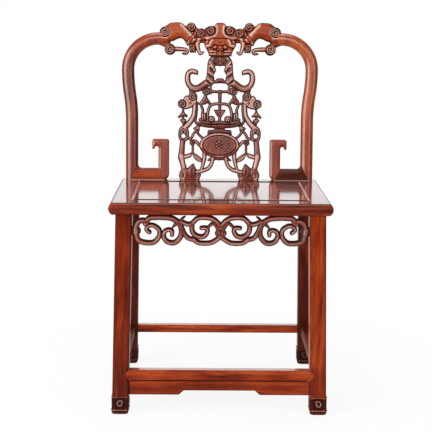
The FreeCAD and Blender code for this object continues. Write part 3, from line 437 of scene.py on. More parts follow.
class Relief:
    # a carved board on a grid: how far inside the outline each place lies, and how high its front stands;
    # a board that starts at 0 is the right half of one, and its left half mirrors it;
    # the section says how the rear is rounded, how wide the dark rim of painted shade is and how far the
    # outline grows

    def __init__(self, left, right, low, high, cell, section):
        self.cell = cell
        self.section = section
        self.mirrors = left == 0
        start = 0 if self.mirrors else left - 2 * cell
        self.across = start + np.arange(int((right - left) / cell) + 5) * cell
        self.upward = low - 2 * cell + np.arange(int((high - low) / cell) + 5) * cell
        shape = (len(self.upward), len(self.across))
        self.inside = np.full(shape, -4.0 * cell)
        self.front = np.zeros(shape)
        self.notches = np.zeros(shape)
        # painted sheen on the front, or painted shade where it is negative
        self.paintedSheen = np.zeros(shape)

    def window(self, outline, reach):
        # the stretch of the grid round an outline
        origin = np.array([self.across[0], self.upward[0]])
        low = np.maximum((outline.min(0) - reach - origin) / self.cell, 0).astype(int)
        high = np.maximum((outline.max(0) + reach - origin) / self.cell + 2, 0).astype(int)
        columns, rows = slice(low[0], high[0]), slice(low[1], high[1])
        x, z = np.meshgrid(self.across[columns], self.upward[rows])
        return (rows, columns), x, z

    def lay(self, part, depth, height, paintedSheen=0.0, covers=False):
        # keeps the larger depth inside and, over the stroke, the higher front, or the stroke's if it covers
        near = depth > -1.5 * self.cell
        higher = np.maximum(self.front[part], height)
        paler = np.where(depth > 0, np.maximum(self.paintedSheen[part], paintedSheen), self.paintedSheen[part])
        if covers:
            higher = np.where(depth > 0, height, higher)
            paler = np.where(depth > 0, paintedSheen, paler)
        self.inside[part] = np.maximum(self.inside[part], depth)
        self.front[part] = np.where(near, higher, self.front[part])
        self.paintedSheen[part] = paler

    def band(self, points, widths, edge, crown, paintedSheen=0.1, smooth=True):
        # ribbon along a path: its front rises in a quarter circle from each edge to the middle, which takes a
        # painted sheen
        path = smoothPath(points) if smooth else np.array(points, float)
        part, x, z = self.window(path, max(widths) / 2 + 2 * self.cell)
        gap, share = distanceTo(path, x, z)
        half = np.interp(share, np.linspace(0, 1, len(widths)), widths) / 2
        height = edge + (crown - edge) * dome(1 - gap / half)
        self.lay(part, half - gap, height, paintedSheen * np.exp(-((gap / (strokes["sheenShare"] * half)) ** 2)))

    def leaf(self, points, edge, crown, soft, smooth=True, paintedSheen=0.0):
        # closed outline whose front rises over the soft distance and stays level inside, with a painted sheen
        # there;
        # a point on the middle line of a mirrored board is set past it
        outline = smoothPath(points, 8, True) if smooth else np.array(points + points[:1], float)
        if self.mirrors:
            outline[:, 0] = np.where(outline[:, 0] == 0, strokes["pastMiddle"], outline[:, 0])
        part, x, z = self.window(outline, 2 * self.cell)
        depth = insideOf(outline, x, z)
        self.lay(part, depth, edge + (crown - edge) * dome(depth / soft), paintedSheen * np.clip(depth / soft, 0, 1))

    def oval(self, middle, halves, edge, crown, soft, covers=False):
        # ellipse with a soft rim
        middle, halves = np.array(middle, float), np.array(halves, float)
        part, x, z = self.window(np.array([middle - halves, middle + halves]), 2 * self.cell)
        spread = np.hypot((x - middle[0]) / halves[0], (z - middle[1]) / halves[1])
        depth = (1 - spread) * halves.min()
        self.lay(part, depth, edge + (crown - edge) * dome(depth / soft), covers=covers)

    def curl(self, middle, radius, turns, start, hand, floor, crown):
        # volute: a low round floor, a ridge that spirals in evenly and a small eye
        self.oval(middle, (radius, radius), floor - strokes["curlSunk"], floor, strokes["curlSoft"], True)
        share = np.linspace(0, 1, int(24 * turns))
        angle = math.radians(start) + hand * 2 * np.pi * turns * share
        ridge = radius / (turns + strokes["curlEdge"])
        reach = radius - ridge / 2 - (radius - strokes["curlEnd"] * ridge) * share
        path = np.array(middle) + reach[:, None] * np.stack([np.cos(angle), np.sin(angle)], -1)
        self.band(path, [width * ridge for width in strokes["curlRidge"]], floor, crown, smooth=False)
        eye = strokes["curlEye"] * ridge
        self.oval(middle, (eye, eye), floor, crown, eye)

    def hole(self, points):
        # cuts away what lies inside a smooth closed outline
        outline = smoothPath(points, 8, True)
        part, x, z = self.window(outline, 2 * self.cell)
        self.inside[part] = np.minimum(self.inside[part], -insideOf(outline, x, z))

    def line(self, points, width, depth, smooth=True):
        # engraved line, or a raised one where the depth is negative
        path = smoothPath(points) if smooth else np.array(points, float)
        part, x, z = self.window(path, 3 * width)
        gap = distanceTo(path, x, z)[0]
        self.notches[part] -= depth * np.exp(-((gap / width) ** 2))

    def paintSheen(self, points, width, paintedSheen):
        # painted sheen along a path, which fades to its sides, or painted shade where it is negative
        path = smoothPath(points)
        part, x, z = self.window(path, 2 * width)
        gap = distanceTo(path, x, z)[0]
        self.paintedSheen[part] += paintedSheen * np.exp(-((gap / width) ** 2))

    def knob(self, middle, radius, height):
        # round swelling added on what lies under it
        middle = np.array(middle, float)
        part, x, z = self.window(np.array([middle - radius, middle + radius]), self.cell)
        spread = np.hypot(x - middle[0], z - middle[1]) / radius
        self.notches[part] += height * np.sqrt(np.clip(1 - spread**2, 0, 1))

    def weave(self, middle, halves, pitch, depth, bare):
        # crossed slanting grooves inside an ellipse, but for a bare round in its middle
        middle, halves = np.array(middle, float), np.array(halves, float)
        part, x, z = self.window(np.array([middle - halves, middle + halves]), 0)
        spread = np.hypot((x - middle[0]) / halves[0], (z - middle[1]) / halves[1])
        slant = np.abs(np.sin(np.pi * (x + z) / pitch)) * np.abs(np.sin(np.pi * (x - z) / pitch))
        woven = (spread < 1) & (np.hypot(x - middle[0], z - middle[1]) > bare)
        self.notches[part] += np.where(woven, depth * (np.sqrt(slant) - 1), 0)

    def shell(self):
        # both faces on the cut grid, and a wall along the outline after that has grown by the board's amount
        section = self.section
        inside, paintedSheen, across = self.inside + section.get("grow", 0.0), self.paintedSheen, self.across
        front = self.front + self.notches
        if self.mirrors:
            inside, front, paintedSheen = [np.hstack([field[:, :0:-1], field]) for field in (inside, front, paintedSheen)]
            across = np.concatenate([-across[:0:-1], across])
        x, z = np.meshgrid(across, self.upward)
        mask = (inside > 0).astype(float)
        reach = max(int(round(strokes["spread"] / self.cell)), 1)
        mean = boxAverage(boxAverage(front * mask, reach), reach)
        mean /= np.maximum(boxAverage(boxAverage(mask, reach), reach), 1e-3)
        # painted shade where the front lies below its neighbours and along a dark rim at the outline, less
        # where a painted sheen lies; negative values paint a highlight
        hollowShade = np.clip(np.clip((mean - front) / strokes["hollowDepth"], -1, 1) - paintedSheen, -1, 1)
        rim = np.clip(strokes["rimStrength"] * (1 - inside / section["rim"]), 0, 1)
        rim = rim * (1 - np.clip(paintedSheen, 0, 1))
        hollowShade = hollowShade + (1 - hollowShade) * rim
        rear = section["edge"] + (section["flat"] - section["edge"]) * dome(inside / section["soft"])
        pairs = [(np.s_[:, :-1], np.s_[:, 1:]), (np.s_[:-1], np.s_[1:])]
        values = []
        for field in (x, z, front, rear, hollowShade):
            parts = [field.ravel()]
            for first, second in pairs:
                apart = inside[first] - inside[second]
                share = np.clip(inside[first] / np.where(apart == 0, 1, apart), *strokes["cutShare"])
                between = field[first] + (field[second] - field[first]) * share
                if field is front:
                    between = np.where(inside[first] > 0, field[second], field[first])
                if field is rear:
                    between = np.full(share.shape, section["edge"])
                if field is hollowShade:
                    between = np.ones(share.shape)
                parts.append(between.ravel())
            values.append(np.concatenate(parts))
        faces, runs = cutCells(inside)
        used = np.unique(np.concatenate([group.ravel() for group in faces]))
        place = np.zeros(len(values[0]), int)
        place[used] = np.arange(len(used))
        count = len(used)
        x, z, front, rear, hollowShade = [field[used] for field in values]
        points = np.concatenate([np.stack([x, -front, z], -1), np.stack([x, rear, z], -1)])
        ahead = [place[group] for group in faces]
        behind = [group[:, ::-1] + count for group in ahead]
        first, second = place[runs].T
        wall = np.stack([second, first, first + count, second + count], -1)
        recess = np.concatenate([hollowShade, np.where(hollowShade == 1, 1, 0)])
        return (points, ahead + behind + [wall]), recess


# seat: four mitred members with a bulging edge, and a panel between them

seatFrame = {
    "width": 52.0, "bulge": 9.0, "cornerRadius": 8.0, "mitreGap": 0.12, "innerChamfer": 2.2,
    "topStep": 0.4, "toneStep": 0.3, "arris": 1.0, "straightEnd": 0.97, "cornerStart": 0.985,
    "panelJoint": 0.5, "panelEdge": 2.3, "panelRadius": 4.0, "panelThickness": 12.0,
    "panelProud": 1.5, "panelSunk": 1.7, "edgeShade": 0.7, "edgeStart": 0.8,
    "jointShade": 0.7, "jointSheen": -1.0, "railCrease": 22, "panelCrease": 30,
}


def railProfile(tone):
    # underside, one arc for the outer edge, top with a chamfered inner edge, and the inner face;
    # the last column is the shade: the arc's upper end is dark, and the chamfer has the tone given
    thick, bulge, width = seat["top"] - seat["under"], seatFrame["bulge"], seatFrame["width"]
    radius = (bulge**2 + (thick / 2) ** 2) / (2 * bulge)
    reach = math.asin(thick / 2 / radius)
    turn = np.linspace(-reach, reach, 15)
    arc = np.stack([radius - radius * np.cos(turn), thick / 2 + radius * np.sin(turn)], -1)
    shade = seatFrame["edgeShade"] * (turn > seatFrame["edgeStart"] * reach)
    arc = np.column_stack([arc, shade])
    chamfer, arris = seatFrame["innerChamfer"], seatFrame["arris"]
    inner = np.array([
        [bulge + seatFrame["topStep"], thick, 0], [width - chamfer - seatFrame["toneStep"], thick, 0],
        [width - chamfer, thick, tone], [width, thick - chamfer, tone],
        [width, arris, tone], [width - arris, 0.0, 0]])
    return np.concatenate([arc, inner])


def railRows(length, tone):
    # the profile runs straight and turns through half of each rounded corner to the mitre
    profile = railProfile(tone)
    inward = profile[:, 0]
    radius = seatFrame["cornerRadius"]
    middle = np.maximum(inward, radius)
    bend = np.maximum(radius - inward, 0)
    turn = np.linspace(0, np.pi / 4, 5)
    share = np.linspace(seatFrame["cornerStart"], 1, 5)
    straight = np.linspace(-seatFrame["straightEnd"], seatFrame["straightEnd"], 20)
    angle = np.concatenate([-turn[::-1], np.zeros(20), turn])[:, None]
    part = np.concatenate([-share[::-1], straight, share])[:, None]
    along = part * (length / 2 - middle - seatFrame["mitreGap"]) + bend * np.sin(angle)
    height, shade = [np.broadcast_to(column, along.shape) for column in profile[:, 1:].T]
    return along, middle - bend * np.cos(angle), height + seat["under"], shade.ravel()


def seatMembers():
    # the rear joint reads dark and the side joints pale, as the light catches them
    width, depth = 2 * seat["half"], seat["rear"] - seat["front"]
    centre = (seat["front"] + seat["rear"]) / 2
    along, inward, height, railShade = railRows(width, seatFrame["jointShade"])
    front = np.stack([along, seat["front"] + inward, height], -1)
    rear = np.stack([-along, seat["rear"] - inward, height], -1)
    # the end members' inner chamfers take a painted highlight
    along, inward, height, endShade = railRows(depth, seatFrame["jointSheen"])
    right = np.stack([seat["half"] - inward, centre + along, height], -1)
    for name, rows, node, wood, shade in (
            ("seatFrontRail", front, "seat_front_rail", seatWood, railShade),
            ("seatRearRail", rear, "seat_rear_rail", seatWood, railShade),
            ("seatRightEnd", right, "seat_right_end", seatEndWood, endShade),
            ("seatLeftEnd", mirroredRows(right), "seat_left_end", seatEndWood, endShade)):
        makePiece(name, [skin(rows)], node, wood, shade, seatFrame["railCrease"])


def seatPanel():
    # rings of a soft rectangle from the top over a small rounded edge to the underside;
    # the panel stands a little proud of the front rail and has sunk a little below the rear one
    inset = seatFrame["width"] + seatFrame["panelJoint"]
    halfX, halfY = seat["half"] - inset, (seat["rear"] - seat["front"]) / 2 - inset
    middle = np.array([0.0, (seat["front"] + seat["rear"]) / 2])
    top = seat["top"]
    turn = np.linspace(0, np.pi / 2, 5)
    edge = seatFrame["panelEdge"]
    insets = np.concatenate([[3 * edge], edge - edge * np.sin(turn), [0]])
    heights = np.concatenate([[top], top - edge + edge * np.cos(turn), [top - seatFrame["panelThickness"]]])
    rings = softRectangle(2 * (halfX - insets), 2 * (halfY - insets), seatFrame["panelRadius"]) + middle
    rows = np.concatenate([rings, np.broadcast_to(heights[:, None, None], rings.shape[:2] + (1,))], -1)
    toFront = (halfY - rows[..., 1] + middle[1]) / (2 * halfY)
    rows[..., 2] += (seatFrame["panelProud"] + seatFrame["panelSunk"]) * toFront - seatFrame["panelSunk"]
    outX, outY = softCorners(6, 1)[2:]
    # the panel's side edges take a painted highlight, and its front edge is dark at the joint
    tone = np.where(outY < 0, seatFrame["jointShade"], 0.0)
    tone = np.where(np.abs(outX) > np.abs(outY), seatFrame["jointSheen"], tone)
    shade = np.where(np.arange(len(insets))[:, None] > 1, tone, 0.0)
    makePiece("seatPanel", [skin(rows)], "seat_panel", seatWood, shade.ravel(),
              seatFrame["panelCrease"])


seatMembers()
seatPanel()
print("seat made")


# legs: slanted soft squares with a carved scroll on each face of the foot

legs = {
    "front": {"width": 38.0, "top": (220.0, 31.0), "foot": (231.0, 25.0)},
    "rear": {"width": 36.0, "top": (223.0, 383.0), "foot": (232.0, 416.0)},
    "edgeRadius": 4.5, "cornerShade": 0.5, "cornerReach": 2.4, "crease": 50,
}

footScroll = {
    "low": 11.5, "high": 43.0, "above": 6.0, "round": 7.0, "flare": 0.6, "rowStep": 0.6, "fade": 4.0,
    "beadRise": 1.3, "beadHalf": 17.0, "lowBead": 1.6, "highBead": 1.7,
    "fieldHalf": 14.5, "fieldDepth": 1.3, "fieldInset": 2.0, "fieldSoft": 1.5,
    "curlRadius": 8.2, "curlRise": 3.0, "curlHalf": 1.9, "curlTurn": (35, 400), "curlEnd": 0.45, "eye": 1.6,
    "sideBead": 13.2, "sideWidth": 1.4, "sideRise": 0.7, "fieldShade": 0.8, "ridgeSheen": 1.3,
}


def legMiddle(leg, z):
    # the leg's axis runs straight from its foot to the seat
    share = np.asarray(z) / seat["under"]
    foot, top = np.array(leg["foot"]), np.array(leg["top"])
    place = foot + (top - foot) * share[..., None]
    return place + np.array([0.0, seat["front"]])


def legInside(leg, z):
    # place of the inner face, half a width from the axis
    return legMiddle(leg, z)[..., 0] - leg["width"] / 2


def footCarving(across, z):
    # a sunk field between two beads, with an open curl and an eye that stand up in it
    low, high = footScroll["low"], footScroll["high"]
    centre = (low + high) / 2
    inset, soft = footScroll["fieldInset"], footScroll["fieldSoft"]
    field = smoothStep((footScroll["fieldHalf"] - np.abs(across)) / inset)
    field = field * smoothStep((z - low - inset) / soft) * smoothStep((high - inset - z) / soft)
    beads = np.exp(-(((z - low) / footScroll["lowBead"]) ** 2))
    beads = beads + np.exp(-(((z - high) / footScroll["highBead"]) ** 2))
    angle = np.radians(np.linspace(*footScroll["curlTurn"], 30))
    reach = footScroll["curlRadius"] * np.linspace(1, footScroll["curlEnd"], 30)
    curl = np.stack([-reach * np.cos(angle), centre + reach * np.sin(angle)], -1)
    gap = distanceTo(curl, across, z)[0] / footScroll["curlHalf"]
    eye = np.hypot(across, z - centre) / footScroll["eye"]
    ridge = dome(1 - gap) * (gap < 1) + dome(1 - eye) * (eye < 1)
    sides = np.exp(-(((np.abs(across) - footScroll["sideBead"]) / footScroll["sideWidth"]) ** 2))
    carved = footScroll["beadRise"] * beads * (np.abs(across) < footScroll["beadHalf"])
    carved = carved + (footScroll["curlRise"] * ridge - footScroll["fieldDepth"]) * field
    return carved + footScroll["sideRise"] * sides * (z > low) * (z < high)


def legPiece(name, leg, node, finishes):
    # a soft square at each height, drawn in at the sole and flared over the foot
    radius, high, fade = footScroll["round"], footScroll["high"], footScroll["fade"]
    top = high + footScroll["above"]
    sole = radius * (1 - np.cos(np.linspace(0, np.pi / 2, 8)))
    scroll = np.arange(radius + footScroll["rowStep"], top, footScroll["rowStep"])
    z = np.concatenate([sole, scroll, np.linspace(top + 2, seat["under"], 40)])
    drawIn = radius - np.sqrt(np.maximum(radius**2 - np.maximum(radius - z, 0) ** 2, 0))
    flare = footScroll["flare"] * np.clip((high + fade - z) / fade, 0, 1)
    size = leg["width"] + 2 * (flare - drawIn)
    outX, outY = softCorners(5, 40)[2:]
    section = softRectangle(size, size, legs["edgeRadius"], 5, 40)
    facing = np.abs(outX) > np.abs(outY)
    across = np.where(facing, section[..., 1] * np.sign(outX), -section[..., 0] * np.sign(outY))
    carving = np.zeros(across.shape)
    carved = z < top + 1
    height = np.broadcast_to(z[:, None], across.shape)
    carving[carved] = footCarving(across[carved], height[carved])
    section = section + carving[..., None] * np.stack([outX, outY], -1)
    rows = np.concatenate([section + legMiddle(leg, z)[:, None, :], height[..., None]], -1)
    # painted shade in the scroll's sunk field and a painted highlight on its ridges; higher up, painted shade
    # along the corners
    recess = np.clip(footScroll["fieldShade"] - carving * footScroll["ridgeSheen"], -1, 1)
    recess = recess * np.clip((high + fade - 1 - z) / fade, 0, 1)[:, None]
    fromCorner = (leg["width"] / 2 - np.abs(across)) / (legs["cornerReach"] * legs["edgeRadius"])
    cornerShade = legs["cornerShade"] * np.clip(1 - fromCorner, 0, 1)
    recess = np.where(carved[:, None], recess, cornerShade) * np.clip(z / radius, 0, 1)[:, None]
    makePair(name, skin(rows), node, finishes, recess.ravel(), legs["crease"])


legPiece("frontLeg", legs["front"], "front_leg", (rightLegWood, leftLegWood))
legPiece("rearLeg", legs["rear"], "rear_leg", (rearLegShadeWood, rearLegShadeWood))
print("legs made")


# bars and boards of the base

base = {
    "stretcherTop": 108.0, "frontHeight": 25.0, "frontDepth": 24.0, "frontProud": 0.3,
    "shoulder": 12.0, "lap": 8.0, "lapRoot": 6.0, "lapEnd": 0.6, "lapProud": 0.1, "lapRadius": 0.5,
    "lapShade": 0.55,
    "sideHeight": 22.0, "sideWidth": 20.0, "sideSetback": 8.0, "rearHeight": 21.0, "rearDepth": 24.0,
    "rearSetback": 6.0, "barRadius": 4.0, "sink": 2.0,
    "apronHeight": 38.0, "apronThickness": 14.0, "apronSetback": 6.0, "boardRadius": 1.5,
    "footrestHeight": 35.0, "footrestThickness": 12.0, "footrestSetback": 4.0, "footrestRaise": 10.4,
    "footrestHalf": 81.0, "footrestSlope": 15.0, "footrestGap": 0.2, "footrestShade": (0.8, 1.0),
    "edgeReach": 3.8, "endReach": 3.0,
}


def levelBar(x, y, z, depth, height, radius):
    # a soft rectangle carried along X; height may change from place to place
    section = softRectangle(depth, height, radius, 6, 10)
    section = np.broadcast_to(section, (len(x),) + section.shape[-2:])
    columns = [np.broadcast_to(x[:, None], section.shape[:2]), y + section[..., 0],
               np.broadcast_to(z, (len(x),))[:, None] + section[..., 1]]
    return np.stack(columns, -1)


def barShade(rows, under, over=0.0):
    # painted shade towards the lower and the upper edge of a bar
    z = rows[..., 2]
    low, high = z.min(1, keepdims=True), z.max(1, keepdims=True)
    reach = base["edgeReach"]
    return under * np.clip(1 - (z - low) / reach, 0, 1) + over * np.clip(1 - (high - z) / reach, 0, 1)


def frontStretcher():
    # the bar stands between the legs, and a pointed lap runs over the front of each, darker towards its point
    leg, top, height = legs["front"], base["stretcherTop"], base["frontHeight"]
    middle = top - height / 2
    front = legMiddle(leg, middle)[1] - leg["width"] / 2 - base["frontProud"]
    inside = float(legInside(leg, middle))
    x = np.linspace(-inside - base["sink"], inside + base["sink"], 60)
    bar = levelBar(x, front + base["frontDepth"] / 2, middle, base["frontDepth"], height, base["barRadius"])
    x = np.linspace(inside - base["lapRoot"], inside + base["shoulder"] - base["lapEnd"], 12)
    narrowing = height * np.clip((inside + base["shoulder"] - x) / base["shoulder"], 0, 1)
    lap = levelBar(x, front + base["lap"] / 2 - base["lapProud"], middle, base["lap"], narrowing,
                   base["lapRadius"])
    point = base["lapShade"] * np.clip((lap[..., 0] - inside) / base["shoulder"], 0, 1).ravel()
    shade = np.concatenate([barShade(bar, 1.0).ravel(), point, point])
    makePiece("frontStretcher", [skin(bar), skin(lap), skin(mirroredRows(lap))], "front_stretcher",
              crossWood, shade)


def footrestApron():
    # a board whose lower edge lifts in the middle by a smooth slope at each side
    leg = legs["front"]
    high = base["stretcherTop"] - base["frontHeight"]
    inside = float(legInside(leg, high - base["footrestHeight"] / 2))
    x = np.linspace(-inside - base["sink"], inside + base["sink"], 141)
    slope = (base["footrestHalf"] + base["footrestSlope"] - np.abs(x)) / base["footrestSlope"]
    height = base["footrestHeight"] - base["footrestRaise"] * smoothStep(slope)
    front = legMiddle(leg, high)[1] - leg["width"] / 2 + base["footrestSetback"]
    rows = levelBar(x, front + base["footrestThickness"] / 2, high - height / 2 - base["footrestGap"],
                    base["footrestThickness"], height, base["boardRadius"])
    ends = np.clip((np.abs(rows[..., 0]) - inside) / base["endReach"] + 1, 0, 1)
    shade = np.maximum(barShade(rows, *base["footrestShade"]), ends)
    makePiece("footrestApron", [skin(rows)], "footrest_apron", footrestWood, shade.ravel())


def rearBars():
    # a soft bar low between the rear legs and a soft board under the seat, both carried along X
    leg, top, height = legs["rear"], base["stretcherTop"], base["rearHeight"]
    middle = top - height / 2
    front = legMiddle(leg, middle)[1] - leg["width"] / 2 + base["rearSetback"]
    inside = float(legInside(leg, middle)) + base["sink"]
    bar = levelBar(np.linspace(-inside, inside, 60), front + base["rearDepth"] / 2, middle,
                   base["rearDepth"], height, base["barRadius"])
    makePiece("rearStretcher", [skin(bar)], "rear_stretcher", crossWood,
              barShade(bar, 1.0).ravel())
    outer = leg["top"][1] + seat["front"] + leg["width"] / 2 - base["apronSetback"]
    inside = float(legInside(leg, seat["under"])) + base["sink"]
    board = levelBar(np.linspace(-inside, inside, 60), outer - base["apronThickness"] / 2,
                     seat["under"] - base["apronHeight"] / 2, base["apronThickness"], base["apronHeight"],
                     base["boardRadius"])
    makePiece("rearApron", [skin(board)], "rear_apron", crossWood)


def sideBars():
    # the same bars turned to run from front to rear
    front, rear = legs["front"], legs["rear"]

    def turned(outer, width, top, height, radius):
        middle = top - height / 2
        start = legMiddle(front, middle)[1] + front["width"] / 2 - base["sink"]
        end = legMiddle(rear, middle)[1] - rear["width"] / 2 + base["sink"]
        rows = levelBar(np.linspace(start, end, 50), outer - width / 2, middle, width, height, radius)
        return rows[..., [1, 0, 2]]

    outer = float(legMiddle(front, base["stretcherTop"])[0]) + front["width"] / 2 - base["sideSetback"]
    bar = turned(outer, base["sideWidth"], base["stretcherTop"], base["sideHeight"], base["barRadius"])
    outer = front["top"][0] + front["width"] / 2 - base["apronSetback"]
    board = turned(outer, base["apronThickness"], seat["under"], base["apronHeight"], base["boardRadius"])
    makePair("sideStretcher", skin(bar), "side_stretcher", (deepShadeWood, deepShadeWood))
    makePair("sideApron", skin(board), "side_apron", (deepShadeWood, deepShadeWood))


frontStretcher()
footrestApron()
rearBars()
sideBars()
print("base made")


# back: drawn upright over the seat's rear line, then leaned as one

back = {
    "setback": 22.0, "lean": 0.08, "sunk": 1.2, "postX": 224.8, "postWidth": 32.0, "postDepth": 28.0,
    "postPower": 2.05, "postShade": 0.6, "shadeReach": 0.22, "bow": 10.4, "bowRise": 130.0,
    "turnRadius": 78.0, "armHeight": 359.6, "crestHalf": 152.2, "armGap": 2.0, "armSink": 6.0,
    "boardCell": 0.8, "boardCrease": 60, "paintedShadeShare": 0.25,
}

footBar = {
    "height": 29.0, "reach": 52.0, "mitreFoot": 10.0, "fillet": 9.0, "edge": 6.0, "crown": 14.1, "soft": 9.0,
    "shade": 0.85, "fade": 8.0, "line": 0.6, "lineSheen": 0.75,
    "section": {"edge": 6.0, "flat": 12.0, "soft": 5.0, "rim": 2.0},
}

hook = {
    "width": 27.5, "height": 104.0, "reach": 16.0, "lip": 19.0, "drop": 8.0, "tip": 7.0, "corner": 6.0,
    "foot": 12.0, "tipRadius": 3.0, "throat": 5.0, "throatStart": 1.0, "face": 12.8, "bevel": 3.6,
    "bevelReach": 6.5, "edgeDrop": 2.0, "edgeReach": 1.8,
    "section": {"edge": 7.0, "flat": 12.0, "soft": 5.0, "rim": 3.0},
}


def leaned(points):
    # turned back about the seat's rear line by the lean, and set on the seat
    angle = math.atan(back["lean"])
    x, y, z = np.moveaxis(points, -1, 0)
    line = seat["rear"] - back["setback"]
    return np.stack([x, y * math.cos(angle) + z * math.sin(angle) + line,
                     z * math.cos(angle) - y * math.sin(angle) + seat["top"]], -1)


def postPath():
    # straight foot, two equal arcs that bow outwards, a quarter circle inwards and a short arm
    bend = 2 * math.atan(back["bow"] / back["bowRise"])
    radius = back["bowRise"] / (2 * math.sin(bend))
    outside = back["postX"] + back["bow"]
    shoulder = back["armHeight"] - back["turnRadius"]
    straight = shoulder - back["bowRise"]
    out = np.linspace(0, bend, 14)[1:]
    home = out[::-1][1:]
    turn = np.linspace(0, np.pi / 2, 40)[1:]
    corner = outside - back["turnRadius"]
    arm = np.linspace(corner - back["armGap"], back["crestHalf"] - back["armSink"], 4)
    runs = [
        (np.full(24, back["postX"]), np.linspace(-back["sunk"], straight, 24)),
        (back["postX"] + radius - radius * np.cos(out), straight + radius * np.sin(out)),
        (outside - radius + radius * np.cos(home), shoulder - radius * np.sin(home)),
        ([outside], [shoulder]),
        (corner + back["turnRadius"] * np.cos(turn), shoulder + back["turnRadius"] * np.sin(turn)),
        (arm, np.full(4, back["armHeight"])),
    ]
    return np.concatenate([np.stack(run, -1) for run in runs])


def backPosts():
    # a rounded section whose power sits between an ellipse and a rectangle, square to the path;
    # a painted shade darkens it towards its two sides
    path = postPath()
    way = np.gradient(path, axis=0)
    way /= np.linalg.norm(way, axis=1, keepdims=True)
    aside = np.stack([way[:, 1], -way[:, 0]], -1)
    turn = np.linspace(0, 2 * np.pi, 72, endpoint=False)
    power = 2 / back["postPower"]
    across = back["postWidth"] / 2 * np.sign(np.cos(turn)) * np.abs(np.cos(turn)) ** power
    depth = back["postDepth"] / 2 * np.sign(np.sin(turn)) * np.abs(np.sin(turn)) ** power
    flat = path[:, None, :] + across[None, :, None] * aside[:, None, :]
    rows = np.stack([flat[..., 0], np.broadcast_to(depth, flat.shape[:2]), flat[..., 1]], -1)
    edges = np.clip(1 - (1 - np.abs(across) / (back["postWidth"] / 2)) / back["shadeReach"], 0, 1)
    shade = np.broadcast_to(back["postShade"] * edges, flat.shape[:2]).ravel()
    makePair("backPost", skin(leaned(rows)), "back_post", (rightPostWood, leftPostWood), shade)


def quarter(middle, radius, start, end, steps=6):
    # places on an arc between two angles in degrees
    angle = np.radians(np.linspace(start, end, steps))
    return [(middle[0] + radius * math.cos(a), middle[1] + radius * math.sin(a)) for a in angle]


def footBars():
    # boards mitred in front at both ends; only the upper edge is rounded, the mitres and the foot are not;
    # a painted shade darkens the face towards the foot, which a thin line of painted highlight ends
    inner = back["postX"] - back["postWidth"] / 2
    outer = inner - footBar["reach"]
    foot = outer - hook["width"] + hook["foot"]
    far = back["postX"] + back["postWidth"] / 2 - footBar["mitreFoot"]
    low, high, fillet = -back["sunk"], footBar["height"], footBar["fillet"]
    corner = quarter((inner - fillet, high + fillet), fillet, 0, -90)
    outline = np.array([(foot, low), (far, low)] + corner + [(outer, high), (foot, low)])
    board = Relief(foot, far, low, high + fillet, back["boardCell"], footBar["section"])
    part, x, z = board.window(outline, 2 * board.cell)
    left, right, under, over = foot - 90, far + 90, -90, high + fillet + 20
    crownLine = np.array([(left, under), (right, under), (right, over)] + corner
                         + [(left, high), (left, under)])
    rise = (footBar["crown"] - footBar["edge"]) * dome(insideOf(crownLine, x, z) / footBar["soft"])
    board.lay(part, insideOf(outline, x, z), footBar["edge"] + rise)
    (points, faces), recess = board.shell()
    z = points[:, 2]
    shade = back["paintedShadeShare"] * recess + footBar["shade"] * np.clip(1 - z / footBar["fade"], 0, 1)
    shade = np.where(z < footBar["line"], -footBar["lineSheen"], shade)
    makePair("postFootBar", (leaned(points), faces), "post_foot_bar", (rightBarWood, leftBarWood), shade,
             back["boardCrease"])


def hookUprights():
    # an upright that turns outwards at the top into a short beak, its face flat within a bevel
    outer = back["postX"] - back["postWidth"] / 2 - footBar["reach"]
    inner = outer - hook["width"]
    top, tip = hook["height"], outer + hook["reach"]
    lip, radius, point, throat = top - hook["lip"], hook["corner"], hook["tipRadius"], hook["throat"]
    foot, low, high = inner + hook["foot"], -back["sunk"], footBar["height"]
    outline = quarter((inner + radius, top - radius), radius, 180, 90)
    outline += quarter((tip - radius, top - radius), radius, 90, 0)
    outline += quarter((tip - point, lip - hook["drop"] + point), point, 0, -140)
    outline += [(tip - hook["tip"] - hook["throatStart"], lip - hook["throatStart"])]
    outline += quarter((outer + throat, lip - throat), throat, 90, 180)
    heel = quarter((foot, hook["foot"]), hook["foot"], 270, 180)
    loop = np.array(outline + [(outer, high), (foot, low)] + heel + outline[:1])
    aside, under = outer + 60, -60
    crown = np.array(outline + [(outer, 60), (outer, high + 2), (aside, high), (aside, under), (foot, under)]
                     + heel[1:] + outline[:1])
    board = Relief(inner, tip, low, top, back["boardCell"], hook["section"])
    part, x, z = board.window(loop, 2 * board.cell)
    depth = insideOf(crown, x, z)
    bevel = hook["bevel"] * np.clip(1 - depth / hook["bevelReach"], 0, 1)
    edge = hook["edgeDrop"] * (1 - dome(depth / hook["edgeReach"]))
    board.lay(part, insideOf(loop, x, z), hook["face"] - bevel - edge)
    (points, faces), recess = board.shell()
    # a share of the painted shade along the rim and in hollows
    makePair("hookUpright", (leaned(points), faces), "hook_upright", (hookWood, hookWood),
             back["paintedShadeShare"] * recess, back["boardCrease"])


backPosts()
footBars()
hookUprights()
print("posts and hooks made")


# carved boards: the right half of each is drawn from its middle line, the crest and the splat upwards from
# the seat, and the apron from its own foot

crest = {
    "half": 156, "low": 314, "high": 400.5, "cell": 0.7, "crease": 65,
    "section": {"edge": 6.0, "flat": 11.0, "soft": 5.0, "rim": 3.5, "grow": 0.7},
}

splat = {
    "half": 106, "low": -1.0, "high": 314, "cell": 0.98, "crease": 65,
    "section": {"edge": 3.5, "flat": 8.0, "soft": 4.0, "rim": 4.0, "grow": 0.9},
}

apron = {
    "half": 201, "low": 0.7, "high": 71.4, "cell": 0.65, "crease": 65,
    "section": {"edge": 4.0, "flat": 7.0, "soft": 4.0, "rim": 4.6, "grow": 0.6},
}


